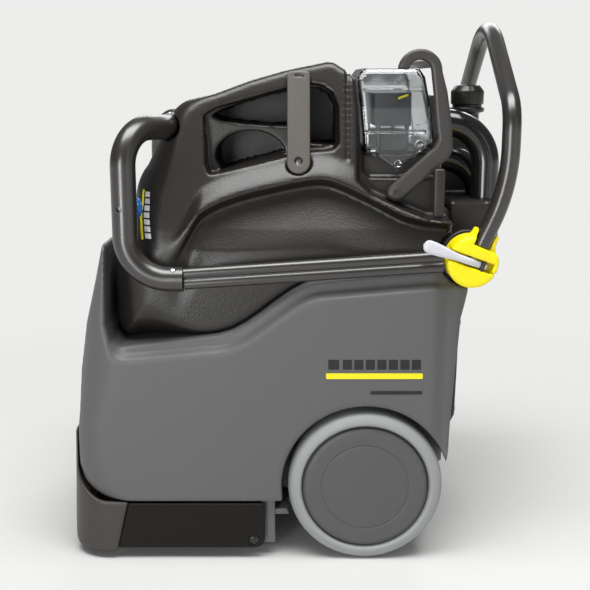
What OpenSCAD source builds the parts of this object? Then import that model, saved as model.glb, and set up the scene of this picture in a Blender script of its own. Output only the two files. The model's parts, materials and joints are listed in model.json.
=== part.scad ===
// Carpet extractor with a cylindrical brush: solution tank body, recovery tank,
// clear inspection dome, tubular frame, folding handle and two rear wheels.
// Frame: +Z up, floor at Z = 0, front of the machine towards -X, left side towards -Y.

/* [Body] */
// Half of the width over the solution tank
body_half_w = 204; // [190:1:212]
// Wall thickness of the rotomoulded shells
wall = 5; // [3:0.5:8]
// Distance between the panel seam and the bottom edge of the recovery tank
rim_gap = 0.6; // [0.3:0.1:2]

/* [Wheels] */
// Radius of the rear wheels
wheel_r = 110; // [95:1:118]
// Width of one tyre
tyre_w = 46; // [36:1:52]
// Distance of the axle behind the middle of the machine
axle_x = 107; // [90:1:120]
// Radius of the axle
axle_r = 10; // [7:0.5:14]

/* [Brush] */
// Radius of the brush over the bristles
brush_r = 50; // [40:1:54]
// Half of the brush length
brush_half_l = 150; // [120:1:155]
// Teeth on the brush pulley for one tooth on the motor pulley
belt_ratio = 2; // [1.5:0.1:2.4]

/* [Frame tubes] */
// Radius of the tube of the folding handle
handle_r = 12.5; // [10:0.5:15]
// Radius of the tube of the front loop
loop_r = 17; // [14:0.5:19]
// Distance of the side rails from the middle plane
rail_y = 200; // [192:1:204]

/* [Handle joint] */
// Distance of the fold axis behind the middle of the machine
joint_x = 245; // [235:1:255]
// Height of the fold axis
joint_z = 437; // [425:1:450]
// Radius of the yellow joint housing
joint_r = 35; // [30:1:38]

/* [Hidden] */
$fn = 48;

dark = "#383532";
grey = "#6e6e6e";
pale = "#9a9d9d";
yellow = "#f5e400";
steel = "#b8bcc0";

// ---- shared helpers -------------------------------------------------------

function smooth(a, b, x) = let (t = min(1, max(0, (x - a) / (b - a)))) t * t * (3 - 2 * t);

// Height of the seam between the solution tank and the recovery tank
function seam_z(x) = 342 + x / 8 + 60 * smooth(-100, 40, x);

function arc(cx, cz, r, a0, a1, n = 8) =
    [for (i = [0:n]) let (a = a0 + (a1 - a0) * i / n) [cx + r * cos(a), cz + r * sin(a)]];

// An outline in the X-Z plane, extruded along Y from y0 to y1
module side_prism(points, y0, y1)
    translate([0, y1, 0]) rotate([90, 0, 0]) linear_extrude(height = y1 - y0) polygon(points);

// An outline in the Y-Z plane, extruded along X from x0 to x1
module end_prism(points, x0, x1)
    translate([x0, 0, 0]) rotate([90, 0, 90]) linear_extrude(height = x1 - x0) polygon(points);

// A rod along Y
module rod_y(x, z, r, y0, y1)
    translate([x, y1, z]) rotate([90, 0, 0]) cylinder(r = r, h = y1 - y0);

// A rectangle seen from above with round corners, r1 at the front and r2 at the rear
module plan_block(x0, x1, half_w, r1, r2, z0, z1)
    translate([0, 0, z0]) linear_extrude(height = z1 - z0)
        polygon(concat(
            arc(x0 + r1, -half_w + r1, r1, 180, 270), arc(x1 - r2, -half_w + r2, r2, 270, 360),
            arc(x1 - r2, half_w - r2, r2, 0, 90), arc(x0 + r1, half_w - r1, r1, 90, 180)));

module both_sides() {
    children();
    mirror([0, 1, 0]) children();
}

// ---- solution tank: the grey lower body -----------------------------------

body_front = -306;
body_floor = 88;
motor_bay_top = 222;
well_r = wheel_r + 9;
well_inner_y = 148;

// Side outline of the body, moved inwards by t
function body_outline(t) = concat(
    [[-265 + t, 452 - t], [-276 + t, 402], [-291 + t, 340], [-300 + t, 270], [body_front + t, 182]],
    arc(-258, 136, 48 - t, 190, 262, 6),
    [[-205, body_floor + t], [axle_x, body_floor + t], [222 - t, body_floor + 40 + t],
     [225 - t, 180], [232 - t, 290], [236 - t, 350], [250 - t, 402], [244 - t, 430 - t]],
    [for (i = [0:21]) let (x = 200 - 20 * i) [x, seam_z(x) - t]],
    [[-236 + t, 312], [-249 + t, 320], [-256 + t, 343], [-256 + t, 452 - t]]);

module body_form(t) intersection() {
    side_prism(body_outline(t), -body_half_w + t, body_half_w - t);
    plan_block(body_front - 4 + t, 256 - t, body_half_w - t, 60, 16, 60, 460);
}

module solution_tank() color(grey) difference() {
    body_form(0);
    intersection() {
        body_form(wall);
        translate([-300, -300, motor_bay_top + wall]) cube([600, 600, 300]);
    }
    difference() {
        translate([-232, -190, body_floor - 2]) cube([438, 380, motor_bay_top - body_floor + 2]);
        both_sides() rod_y(axle_x, wheel_r, well_r + wall, -220, -well_inner_y + wall);
    }
    both_sides() rod_y(axle_x, wheel_r, well_r, -220, -well_inner_y);
    rod_y(axle_x, wheel_r, axle_r + 0.05, -160, 160);
    joint_pockets();
    rod_y(brush_x, brush_z, brush_r + 13, -173, 173);
    both_sides() translate([rail_x0, -rail_y, loop_z]) rotate([0, -rail_lean, 0])
        translate([-10, -12, -16]) cube([420, 30, 60]);
}

// Room for the yellow joint housings and their plates and bolts
module joint_pockets() both_sides() rod_y(joint_x, joint_z, joint_r + 5, -230, -157);

module base_plate() color(dark) difference() {
    union() {
        translate([-100, -186, body_floor - 26]) cube([312, 372, 8]);
        both_sides() translate([-40, -190, 20]) cube([18, 6, 64]);
        both_sides() translate([axle_x - 18, -142.5, body_floor - 18]) cube([36, 10, 50]);
    }
    both_sides() rod_y(axle_x, wheel_r, well_r, -200, -well_inner_y + 2);
    rod_y(axle_x, wheel_r, axle_r + 0.05, -160, 160);
}

// ---- brush head ------------------------------------------------------------

brush_x = -226;
brush_z = brush_r + 2;
head_floor = 12;

module front_cover() color("#55504e") difference() {
    union() {
        intersection() {
            side_prism(concat(
                [[-317, 40]], arc(-305, head_floor + 12, 12, 180, 270, 4),
                [[-249, head_floor], [-231, 87]], arc(-258, 136, 48.6, 262, 190, 6),
                [[-306.8, 181], [-311, 181]]), -body_half_w, body_half_w);
            plan_block(-318, 0, body_half_w, 58, 2, 0, 320);
        }
        side_prism([[-306.8, 181], [-311, 181], [-305.5, 262], [-297, 330], [-293.2, 330], [-301.3, 262]],
                   -132, 132);
    }
    plan_block(-311, 20, body_half_w - 7, 51, 2, 0, 90);
    rod_y(brush_x, brush_z, brush_r + 13, -173, 173);
}

plate_top = 85;
plate_floor = 17;

module side_plates() color(dark) both_sides() union() {
    side_prism(concat(
        [[-231, plate_top], [-247, plate_floor]],
        arc(-50, plate_floor + 14, 14, 270, 360, 6), [[-36, plate_top]]), -202, -198);
    translate([-230, -204, plate_top - 3]) cube([193, 8, 3]);
}

module side_plate_screws() color(steel) both_sides()
    rod_y(-52, 29, 6, -204.5, -202);

module brush_housing() color(dark) difference() {
    side_prism(concat([[-288, 24]], [[-288, 70]], arc(brush_x, brush_z, brush_r + 12, 160, 20, 12),
                      [[-150, 70], [-150, 24]]), -172, 172);
    rod_y(brush_x, brush_z, brush_r + 6, -brush_half_l - 4, brush_half_l + 4);
    translate([brush_x - brush_r - 6, -brush_half_l - 4, 0])
        cube([2 * brush_r + 12, 2 * brush_half_l + 8, brush_z]);
    translate([-164, -158, 0]) cube([20, 316, 90]);
    rod_y(brush_x, brush_z, 13.05, -200, 200);
}

module brush_roller() color("#23211f") union() {
    rod_y(brush_x, brush_z, 26, -brush_half_l, brush_half_l);
    for (i = [0:11]) rotate_about_brush(i * 30)
        translate([brush_x - 3, -brush_half_l + 4, brush_z + 20])
            cube([6, 2 * brush_half_l - 8, brush_r - 20]);
    rod_y(brush_x, brush_z, 6, -182, 190);
}

module rotate_about_brush(a)
    translate([brush_x, 0, brush_z]) rotate([0, a, 0]) translate([-brush_x, 0, -brush_z]) children();

module brush_bearings() color(steel) both_sides() difference() {
    rod_y(brush_x, brush_z, 13, -172, -160);
    rod_y(brush_x, brush_z, 6.05, -173, -159);
}

motor_pulley_r = 14;
brush_pulley_r = motor_pulley_r * belt_ratio;
motor_x = -92;
motor_z = 130;
belt_y0 = 175;
belt_w = 12;

module pulley(x, z, r, bore) difference() {
    union() {
        rod_y(x, z, r, belt_y0 - 1, belt_y0 + belt_w + 1);
        rod_y(x, z, r + 3, belt_y0 - 2, belt_y0 - 0.5);
    }
    rod_y(x, z, bore, belt_y0 - 4, belt_y0 + belt_w + 3);
}

module brush_pulley() color(steel) pulley(brush_x, brush_z, brush_pulley_r, 6);

module motor_pulley() color(steel) pulley(motor_x, motor_z, motor_pulley_r, 5.05);

belt_lean = atan2(motor_z - brush_z, motor_x - brush_x);
belt_span = sqrt(pow(motor_x - brush_x, 2) + pow(motor_z - brush_z, 2));
belt_wrap = acos((brush_pulley_r - motor_pulley_r) / belt_span);

function belt_loop(extra) = concat(
    arc(brush_x, brush_z, brush_pulley_r + extra, belt_lean + belt_wrap,
        belt_lean + 360 - belt_wrap, 20),
    arc(motor_x, motor_z, motor_pulley_r + extra, belt_lean - belt_wrap, belt_lean + belt_wrap, 12));

module drive_belt() color("#1c1c1c") difference() {
    side_prism(belt_loop(3.5), belt_y0 + 0.5, belt_y0 + belt_w - 0.5);
    side_prism(belt_loop(0.9), belt_y0 - 1, belt_y0 + belt_w + 1);
}

module brush_motor() color("#8a8d90") union() {
    rod_y(motor_x, motor_z, 34, 20, 150);
    rod_y(motor_x, motor_z, 20, 150, 158);
    rod_y(motor_x, motor_z, 5, 158, 189);
    rod_y(motor_x, motor_z, 28, -4, 20);
    translate([motor_x - 6, 40, 70]) cube([36, 90, 30]);
}

module suction_shoe() color("#4a4745") difference() {
    union() {
        side_prism([[-140, 0], [-144, 14], [-128, 84], [-112, 84], [-104, 14], [-108, 0]], -158, 158);
        translate([-120, -60, 80]) cylinder(r = 22, h = 70);
    }
    side_prism([[-130, -1], [-130, 10], [-124, 66], [-116, 66], [-118, 10], [-118, -1]], -150, 150);
    translate([-120, -60, 50]) cylinder(r = 18, h = 120);
}

module spray_bar() color(steel) union() {
    rod_y(-160, 112, 7, -140, 140);
    for (i = [0:3]) translate([-160, -112.5 + 75 * i, 82]) cylinder(r = 6, h = 26);
    for (i = [0:3]) translate([-160, -112.5 + 75 * i, 74]) cylinder(r = 4, h = 9);
}

// ---- things in the motor bay ------------------------------------------------

module vacuum_motor() color("#8a8d90") union() {
    translate([10, -62, 74]) cylinder(r = 58, h = 62);
    translate([10, -62, 136]) cylinder(r = 42, h = 50);
    translate([10, -62, 186]) cylinder(r = 18, h = 16);
    translate([10, -62, 70]) cylinder(r = 44, h = 5);
}

module solution_pump() color("#2f3133") union() {
    translate([142, -40, 70]) cube([52, 46, 48]);
    translate([168, 6, 98]) rotate([-90, 0, 0]) cylinder(r = 20, h = 52);
    translate([150, -30, 118]) cylinder(r = 6, h = 18);
    translate([150, -8, 118]) cylinder(r = 6, h = 18);
}

module solution_filter() color("#d8dadb") union() {
    translate([150, 92, 70]) cylinder(r = 20, h = 70);
    translate([150, 92, 140]) cylinder(r = 24, h = 14);
    translate([150, 92, 110]) rotate([-90, 0, 0]) cylinder(r = 6, h = 34);
}

// ---- wheels -----------------------------------------------------------------

tyre_y1 = -160;
tread_t = 20;
hub_bore = 10.05;

module at_axle() translate([axle_x, 0, wheel_r]) rotate([90, 0, 0]) children();

// Section of the tyre: radius against the distance to the machine's middle plane
module tyre() color(pale) at_axle() translate([0, 0, -tyre_y1]) rotate_extrude($fn = 96) polygon(concat(
    [[wheel_r - tread_t, 0]], [[wheel_r - 6, 0]], [[wheel_r, 6]], [[wheel_r, tyre_w - 9]],
    arc(wheel_r - 9, tyre_w - 9, 9, 0, 90, 5), [[wheel_r - tread_t, tyre_w]]));

module rim() color("#5e6060") at_axle() translate([0, 0, -tyre_y1]) difference() {
    union() {
        difference() {
            cylinder(r = wheel_r - tread_t, h = tyre_w - 8, $fn = 96);
            translate([0, 0, 8]) cylinder(r = wheel_r - tread_t - 8, h = tyre_w, $fn = 96);
        }
        cylinder(r = 24, h = tyre_w - 8);
        for (i = [0:5]) rotate([0, 0, 60 * i]) translate([20, -3, 0])
            cube([wheel_r - tread_t - 24, 6, tyre_w - 14]);
    }
    translate([0, 0, -2]) cylinder(r = hub_bore, h = tyre_w + 4);
}

module hub_cover() color(grey) at_axle() translate([0, 0, tyre_w - 8 - tyre_y1]) union() {
    cylinder(r = wheel_r - tread_t - 1, h = 5, $fn = 96);
    translate([0, 0, 5]) cylinder(r1 = wheel_r - tread_t - 1, r2 = wheel_r - tread_t - 6, h = 2, $fn = 96);
}

module tyre_left() tyre();
module tyre_right() mirror([0, 1, 0]) tyre();
module rim_left() rim();
module rim_right() mirror([0, 1, 0]) rim();
module hub_cover_left() hub_cover();
module hub_cover_right() mirror([0, 1, 0]) hub_cover();

module wheel_axle() color(steel) rod_y(axle_x, wheel_r, axle_r, -196, 196);

module axle_clips() color(steel) both_sides() difference() {
    rod_y(axle_x, wheel_r, 15, -158.5, -156);
    rod_y(axle_x, wheel_r, axle_r, -160, -155);
}

// ---- recovery tank ------------------------------------------------------------

tank_rear = 226;
neck_x0 = 101;
neck_x1 = 206;
neck_top = 574;
tower_x1 = 213;
tower_top = 654;
shoulder_y = 124;
neck_y = 113;

// Side outline of the recovery tank, moved inwards by t
function tank_outline(t) = concat(
    [[-232 + t, seam_z(-232) + rim_gap + t]],
    [for (i = [21:-1:0]) let (x = 200 - 20 * i) [x, seam_z(x) + rim_gap + t]],
    [[tank_rear - t, seam_z(tank_rear) + rim_gap + t], [tank_rear - t, 496 - t],
     [tower_x1 - t, 502 - t], [tower_x1 - t, tower_top - t],
     [neck_x1 - t * 0.4, tower_top - t], [neck_x1 - t * 0.4, neck_top - t],
     [neck_x0 - t, neck_top - t], [neck_x0 - 9 - t, 676 - t], [80, 689 - t]],
    arc(54, 670, 31 - t, 80, 100, 3),
    [[-8, 689 - t], [-57, 675 - t], [-106, 657 - t]],
    arc(-127, 601, 50 - t, 100, 150, 5),
    arc(-151, 512, 70 - t, 140, 180, 5),
    [[-226 + t, 498], [-226 + t, 466], [-232 + t, 452], [-251 + t, 424], [-252 + t, 345], [-244 + t, 322]]);

// Half widths of the tank, each with its height
tank_half = [[181, 300], [181, 446], [174, 476], [152.8, 540], [131.4, 610], [110, 680], [102.6, 704]];

module tank_form(t) intersection() {
    side_prism(tank_outline(t), -200, 200);
    end_prism(concat([for (p = tank_half) [p[0] - t, p[1]]],
                     [for (i = [6:-1:0]) [t - tank_half[i][0], tank_half[i][1]]]), -260, 260);
    union() {
        plan_block(-254 + t, 232, 181 - t, 40, 20, 290, 441);
        plan_block(-234 + t, 232, 181 - t, 66, 20, 440, 710);
    }
}

// Hollows in both sides of the tank: the wide grip recess with its three deep pockets,
// and the narrower shoulder and neck under the dome
module tank_cuts(t) both_sides() {
    side_prism([[-116 - t, 632], [-110 - t, 546 - t], [20, 578 - t], [68 + t, 582 - t], [68 + t, 640],
                [50, 668 + t], [20, 670 + t], [-60, 650 + t]], -200, -104 + t);
    side_prism([[-104 - t, 556 - t], [-14 + t, 580 - t], [-20 + t, 592], [-60, 610 + t],
                [-96 - t, 596]], -200, -78 + t);
    side_prism([[-104 - t, 622 - t], [-8 + t, 614 - t], [-8 + t, 660 + t], [-60, 648 + t]],
               -200, -78 + t);
    side_prism([[30 - t, 590 - t], [64 + t, 592 - t], [62 + t, 650], [46, 664 + t], [30 - t, 664 + t]],
               -200, -78 + t);
    side_prism([[94 - t, 720], [94 - t, 538 - t], [120, 514 - t], [192, 486 - t], [240, 480 - t],
                [240, 720]], -200, -shoulder_y + t);
    side_prism([[neck_x0 + 1 - t, 720], [neck_x0 + 1 - t, 540 - t], [240, 540 - t], [240, 720]],
               -200, -neck_y + t);
}

module recovery_tank() color(dark) difference() {
    tank_form(0);
    difference() {
        tank_form(wall);
        tank_cuts(wall);
    }
    tank_cuts(0);
    translate([float_x, 0, neck_top - 12]) cylinder(r = 27, h = 20);
    at_cap() translate([0, 0, -20]) cylinder(r = 10, h = 40);
    joint_pockets();
    rod_y(cross_x, loop_top_z, loop_r + 3, -150, 150);
}

// Z points out of the rounded front corner of the tank, along the axis of the blue cap
module at_cap() translate([-211.5, -167.5, 505]) rotate([0, 0, 50]) rotate([0, -90, 0]) children();

strap_lean = 17;

module on_tank_side() translate([12, -140.5, 582]) rotate([-strap_lean, 0, 0]) rotate([90, 0, 0]) children();

module strap() color("#6f6d6b") on_tank_side() difference() {
    union() {
        translate([-16, -20, 0]) cube([32, 130, 8]);
        translate([0, -20, 0]) cylinder(r = 16, h = 8);
    }
    translate([0, -18, -1]) cylinder(r = 5.5, h = 12);
    translate([-7, 104, 5]) cube([14, 3, 5]);
}

module tank_strap_left() strap();
module tank_strap_right() mirror([0, 1, 0]) strap();

module strap_screws() color(steel) both_sides() on_tank_side()
    translate([0, -18, 1]) cylinder(r = 5.4, h = 4);

module blue_cap() color("#2a70b8") at_cap() union() {
    translate([0, 0, 1]) cylinder(r = 16, h = 4);
    translate([0, 0, 5]) cylinder(r1 = 15, r2 = 12, h = 4);
    translate([-3, -12, 5]) cube([6, 24, 7]);
    translate([0, 0, -9]) cylinder(r = 9.6, h = 10);
}

// Plain label plates: three bars on each flank and one on the front of the tank
badge_t = 0.8;
badge_x1 = 184;

module badges() color("#222222") {
    both_sides() for (b = [[50, 284, 14], [50, 270, 9], [112, 246, 9]])
        translate([b[0], -body_half_w - badge_t, b[1]]) cube([badge_x1 - b[0], badge_t, b[2]]);
    end_prism([[-90, 470], [90, 470], [90, 494], [-90, 494]], -227.8, -226);
}

// ---- inspection dome ------------------------------------------------------------

dome_half_w = 120;
dome_top = 692;
dome_wall = 3;

module dome_form(t) intersection() {
    side_prism([[94 + t, dome_top - 12 - t], [103 + t, dome_top - t], [182 - t, dome_top - t],
                [190 - t, dome_top - 12 - t], [203 - t, 592], [152, 549 + 1.4 * t], [103.5 + t, 584]],
               -dome_half_w + t, dome_half_w - t);
    end_prism([[-dome_half_w + t, 540], [-dome_half_w + t, 640], [-dome_half_w + 24 + t, dome_top - t],
               [dome_half_w - 24 - t, dome_top - t], [dome_half_w - t, 640], [dome_half_w - t, 540]],
              80, 220);
}

module inspection_dome() color([0.9, 0.93, 0.95, 0.35]) difference() {
    dome_form(0);
    dome_form(dome_wall);
    translate([90, -neck_y - 0.5, 500]) cube([120, 2 * neck_y + 1, neck_top - 500 + 4]);
}

module dome_seal() color("#1b1b1b") difference() {
    translate([107, -112, neck_top]) cube([92, 224, 4]);
    translate([111, -105, neck_top - 1]) cube([84, 210, 6]);
}

module intake_deflector() color("#4d5054") union() {
    difference() {
        translate([119, -102, 612]) cube([52, 204, 46]);
        translate([122, -99, 609]) cube([46, 198, 46]);
    }
    both_sides() translate([122, -104, neck_top]) cube([6, 5, 40]);
    both_sides() translate([162, -104, neck_top]) cube([6, 5, 40]);
}

float_x = 147;
float_z = 538.6;

module float_cage() color("#e3e5e6") translate([float_x, 0, 0]) difference() {
    union() {
        translate([0, 0, 520]) cylinder(r = 26.5, h = 84);
        translate([0, 0, neck_top]) cylinder(r = 33, h = 4);
    }
    translate([0, 0, 524]) cylinder(r = 23, h = 76);
    translate([0, 0, 500]) cylinder(r = 14, h = 150);
    for (a = [0:60:300]) rotate([0, 0, a]) translate([18, -6, 530]) cube([20, 12, 36]);
}

module float_ball() color("#e88a1a") translate([float_x, 0, float_z]) sphere(r = 19.5);

// ---- bail that holds the dome down ------------------------------------------------

bail_pivot = [148, 521];
bail_y = 128;
arch = [182, 692.5];
arch_r = 26;
arch_inner = 14;

// Section of one leg, seen from the side
function bail_leg() = concat(
    arc(bail_pivot[0], bail_pivot[1], 12, 140, 305, 8),
    [[221, 569], [227, 581], [224, 619], [217, 660]],
    arc(arch[0], arch[1], arch_r, 0, 170, 12),
    arc(arch[0], arch[1], arch_inner, 170, 0, 10),
    [[196.6, 660], [199, 635], [204, 596], [200, 586]]);

module dome_bail() color("#3c3a38") union() {
    both_sides() difference() {
        side_prism(bail_leg(), -bail_y - 12, -bail_y);
        rod_y(bail_pivot[0], bail_pivot[1], 5.05, -bail_y - 13, -bail_y + 1);
    }
    side_prism(concat(arc(arch[0], arch[1], arch_r, 0, 170, 12),
                      arc(arch[0], arch[1], arch_inner, 170, 0, 10)), -bail_y - 12, bail_y + 12);
}

module bail_pins() color(dark) both_sides() union() {
    rod_y(bail_pivot[0], bail_pivot[1], 5, -bail_y - 12, -shoulder_y);
    rod_y(bail_pivot[0], bail_pivot[1], 9, -bail_y + 0.5, -shoulder_y);
}

// Short posts on the shoulders of the tank, outside the bail
module rear_posts() color(dark) both_sides()
    translate([199, -156, 488]) cube([15, 12, 68]);

// ---- rear housing and hoses ---------------------------------------------------------

housing_top = 506;

housing_x0 = 228;
housing_x1 = 304;
cowl_y = 62;
cowl_half_w = 42;
cowl_top = 594;
rocker_z = 476;

module vacuum_housing() color("#3f3d3b") difference() {
    union() {
        plan_block(housing_x0, housing_x1, 104, 4, 24, 436, housing_top);
        translate([0, cowl_y, 0]) plan_block(housing_x0, housing_x1, cowl_half_w, 4, 20, 440, cowl_top);
    }
    plan_block(housing_x0 + 4, housing_x1 - 4, 100, 3, 20, 430, housing_top - 4);
    translate([0, cowl_y, 0])
        plan_block(housing_x0 + 4, housing_x1 - 4, cowl_half_w - 4, 3, 16, 440, cowl_top - 4);
    for (y = [hose_upper_y, hose_lower_y])
        translate([hose_x, y, 480]) cylinder(r = hose_r - hose_wall, h = 40);
    for (y = rocker_ys) translate([housing_x1 - 12, y - 10, rocker_z - 14]) cube([20, 20, 28]);
}

hose_r = 20;
hose_wall = 3;
hose_x = 286;
hose_upper_y = -60;
hose_lower_y = -12;
hose_upper_z = 615;
hose_lower_z = 561;
clamp_l = 9;

// A hose that leaves the tower of the tank towards +X and bends down into the rear housing
module hose(y, z, bend) color("#161616") translate([0, y, z]) difference() {
    hose_body(bend, z, hose_r);
    hose_body(bend, z, hose_r - hose_wall);
}

module hose_body(bend, z, r) union() {
    translate([tower_x1, 0, 0]) rotate([0, 90, 0]) cylinder(r = r, h = hose_x - bend - tower_x1);
    translate([hose_x - bend, 0, -bend]) rotate([90, 0, 0]) rotate_extrude(angle = 90)
        translate([bend, 0]) circle(r = r);
    if (z - bend > housing_top)
        translate([hose_x, 0, housing_top - z]) cylinder(r = r, h = z - bend - housing_top);
}

module hose_upper() hose(hose_upper_y, hose_upper_z, 60);
module hose_lower() hose(hose_lower_y, hose_lower_z, hose_lower_z - housing_top);

module hose_clamps() color("#dfe3e4") for (p = [[hose_upper_y, hose_upper_z], [hose_lower_y, hose_lower_z]])
    translate([tower_x1 + 4, p[0], p[1]]) {
        rotate([0, 90, 0]) difference() {
            cylinder(r = hose_r + 2, h = clamp_l);
            translate([0, 0, -1]) cylinder(r = hose_r, h = clamp_l + 2);
        }
        translate([1, -6, hose_r + 1.5]) cube([clamp_l - 2, 12, 6]);
    }

stack_x = 277;
stack_y = 64;

module defoamer_stack() color("#1e1d1c") translate([stack_x, stack_y, cowl_top]) union() {
    cylinder(r = 19, h = 38);
    translate([0, 0, 34]) cylinder(r = 27, h = 6);
    translate([0, 0, 40]) cylinder(r = 23, h = 5);
    translate([0, 0, 45]) cylinder(r = 26, h = 22);
    translate([0, 0, 67]) cylinder(r1 = 26, r2 = 18, h = 8);
}

// ---- tubular frame -------------------------------------------------------------------

loop_x = -222;
loop_z = 411;
loop_bend = 58;
loop_top_z = 612;
loop_top_bend = 50;
loop_turn = 35;
rail_x0 = -145;

// Straight tube between two bends. A thin weld collar bridges each end that meets a bend.
module pipe(r, h, collars = [1, 1]) {
    translate([0, 0, collars[0]]) cylinder(r = r, h = h - collars[0] - collars[1]);
    if (collars[0] > 0) translate([0, 0, -2]) cylinder(r = r + 0.2, h = 4);
    if (collars[1] > 0) translate([0, 0, h - 2]) cylinder(r = r + 0.2, h = 4);
}

module pipe_bend(r, bend, angle) rotate_extrude(angle = angle) translate([bend, 0]) circle(r = r);

module loop_half(r) {
    translate([loop_x + loop_bend, -rail_y, loop_z]) rotate([0, 90, 0])
        pipe(r, rail_x0 - loop_x - loop_bend, [1, 0]);
    translate([loop_x + loop_bend, -rail_y, loop_z + loop_bend]) rotate([90, 0, 0]) rotate([0, 0, 180])
        pipe_bend(r, loop_bend, 90);
    translate([loop_x, -rail_y, loop_z + loop_bend])
        pipe(r, loop_top_z - loop_top_bend - loop_z - loop_bend);
    translate([loop_x, -rail_y, loop_top_z - loop_top_bend]) rotate([0, 0, 90 - loop_turn])
        top_turn(r);
}

cross_bend = 60;
cross_step = 16;

// From here the tube runs inwards: up-and-over bend, short straight, level bend
module top_turn(r) {
    translate([loop_top_bend, 0, 0]) rotate([90, 0, 0]) rotate([0, 0, 90]) pipe_bend(r, loop_top_bend, 90);
    translate([loop_top_bend, 0, loop_top_bend]) rotate([0, 90, 0]) pipe(r, cross_step);
    translate([loop_top_bend + cross_step, cross_bend, loop_top_bend]) rotate([0, 0, -90])
        pipe_bend(r, cross_bend, loop_turn);
}

cross_x = loop_x + (loop_top_bend + cross_step) * sin(loop_turn) + cross_bend * (1 - cos(loop_turn));
cross_y = rail_y - (loop_top_bend + cross_step) * cos(loop_turn) - cross_bend * sin(loop_turn);

module loop_run(r) {
    both_sides() loop_half(r);
    translate([cross_x, cross_y, loop_top_z]) rotate([90, 0, 0]) pipe(r, 2 * cross_y);
}

module front_loop() color("#2e2c2a") difference() {
    loop_run(loop_r);
    both_sides() rod_y(loop_x - 4, 508, 4, -rail_y - 30, -rail_y);
}

rail_lean = 3.9;
rail_start = 1.3;

rail_end = 353;

module side_rails() color("#2e2c2a") both_sides()
    translate([rail_x0, -rail_y, loop_z]) rotate([0, -rail_lean, 0])
        translate([rail_start, 0, 0]) rail_bar(rail_end - rail_start);

module rail_bar(l) union() {
    translate([0, 0, 7]) rotate([0, 90, 0]) cylinder(r = 8, h = l);
    translate([0, 0, -7]) rotate([0, 90, 0]) cylinder(r = 8, h = l);
    translate([0, -5, -7]) cube([l, 10, 14]);
}

module loop_screws() color(steel) union() {
    both_sides() translate([-158, -rail_y, loop_z]) rotate([35, 0, 0])
        translate([0, 0, loop_r]) cylinder(r = 4, h = 1.6);
    translate([cross_x, 0, loop_top_z + loop_r]) cylinder(r = 4, h = 1.6);
}

// ---- folding handle --------------------------------------------------------------------

joint_y0 = -223;
joint_y1 = -178;
tube_x = 293;
leg_bend = 250;
leg_lean = 24;
leg_z0 = 590 - leg_bend * sin(leg_lean);
leg_x0 = tube_x - leg_bend * (1 - cos(leg_lean));
leg_z1 = 632;
shoulder = 50;
shoulder_turn = 65;
apex_bend = 120;
apex_y = apex_bend * cos(shoulder_turn);
apex_z = 747;
top_run_y = rail_y - shoulder * (1 - cos(shoulder_turn));
top_run = (top_run_y - apex_y) / sin(shoulder_turn);
leg_foot = 34;

bolt_r = 7;
bolt_end = 215;

module hinge_plates() color("#262422") both_sides() difference() {
    rod_y(joint_x, joint_z, joint_r + 3, joint_y1 + 1, -164);
    rod_y(joint_x, joint_z, bolt_r, -180, -150);
}

module hinge_bolts() color(steel) both_sides() union() {
    rod_y(joint_x, joint_z, bolt_r, -bolt_end, -164);
    rod_y(joint_x, joint_z, 11, -164, -158);
}

// Axis of the handle leg where it enters the joint
module on_leg_axis() translate([leg_x0, -rail_y, leg_z0]) rotate([0, leg_lean, 0]) children();

module joint_housing() color(yellow) difference() {
    union() {
        rod_y(joint_x, joint_z, joint_r, joint_y0 + 5, joint_y1);
        translate([joint_x, joint_y0 + 5, joint_z]) rotate([90, 0, 0])
            cylinder(r1 = joint_r, r2 = joint_r - 6, h = 5);
        on_leg_axis() translate([0, 0, -30]) cylinder(r = 19, h = 22);
    }
    rod_y(joint_x, joint_z, bolt_r + 0.05, -bolt_end - 1, -170);
    on_leg_axis() translate([0, 0, -leg_foot]) cylinder(r = handle_r, h = 60);
    lever_frame() translate([-36, -slot_half, -3]) cube([80, 2 * slot_half, 40]);
    lever_frame() translate([lever_pivot, -14, 6]) rotate([-90, 0, 0]) cylinder(r = 3, h = 28);
}

lever_tilt = 20;
lever_pivot = -14;
lever_l = 62;
slot_half = 7;

// X along the closed lever towards its tip, Z outwards from the housing face
module lever_frame() translate([joint_x, joint_y0 + 10, joint_z]) rotate([0, lever_tilt, 0])
    rotate([90, 0, 0]) mirror([1, 0, 0]) children();

module cam_lever() color("#dcdde0") lever_frame() difference() {
    union() {
        translate([lever_pivot, -5.5, 6]) rotate([-90, 0, 0]) cylinder(r = 8, h = 11);
        translate([lever_pivot, -5.5, 6]) cube([54, 11, 6]);
        translate([38, -9, 6]) cube([lever_l - 38, 18, 6]);
        translate([lever_l, 0, 6]) cylinder(r = 9, h = 6);
    }
    translate([lever_pivot, -7, 6]) rotate([-90, 0, 0]) cylinder(r = 3.05, h = 14);
}

module cam_pins() color(steel) both_sides() lever_frame() translate([lever_pivot, -14, 6]) rotate([-90, 0, 0])
    cylinder(r = 3, h = 28);

module joint_housing_left() joint_housing();
module joint_housing_right() mirror([0, 1, 0]) joint_housing();
module cam_lever_left() cam_lever();
module cam_lever_right() mirror([0, 1, 0]) cam_lever();

module handle_half(r) {
    on_leg_axis() translate([0, 0, -leg_foot]) pipe(r, leg_foot, [0, 1]);
    translate([tube_x - leg_bend, -rail_y, 590]) rotate([90, 0, 0]) rotate([0, 0, -leg_lean])
        pipe_bend(r, leg_bend, leg_lean);
    translate([tube_x, -rail_y, 590]) pipe(r, leg_z1 - 590);
    translate([tube_x, -rail_y + shoulder, leg_z1]) rotate([90, 0, 90]) rotate([0, 0, 180 - shoulder_turn])
        pipe_bend(r, shoulder, shoulder_turn);
    translate([tube_x, -top_run_y, leg_z1 + shoulder * sin(shoulder_turn)]) rotate([-shoulder_turn, 0, 0])
        pipe(r, top_run);
}

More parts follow.
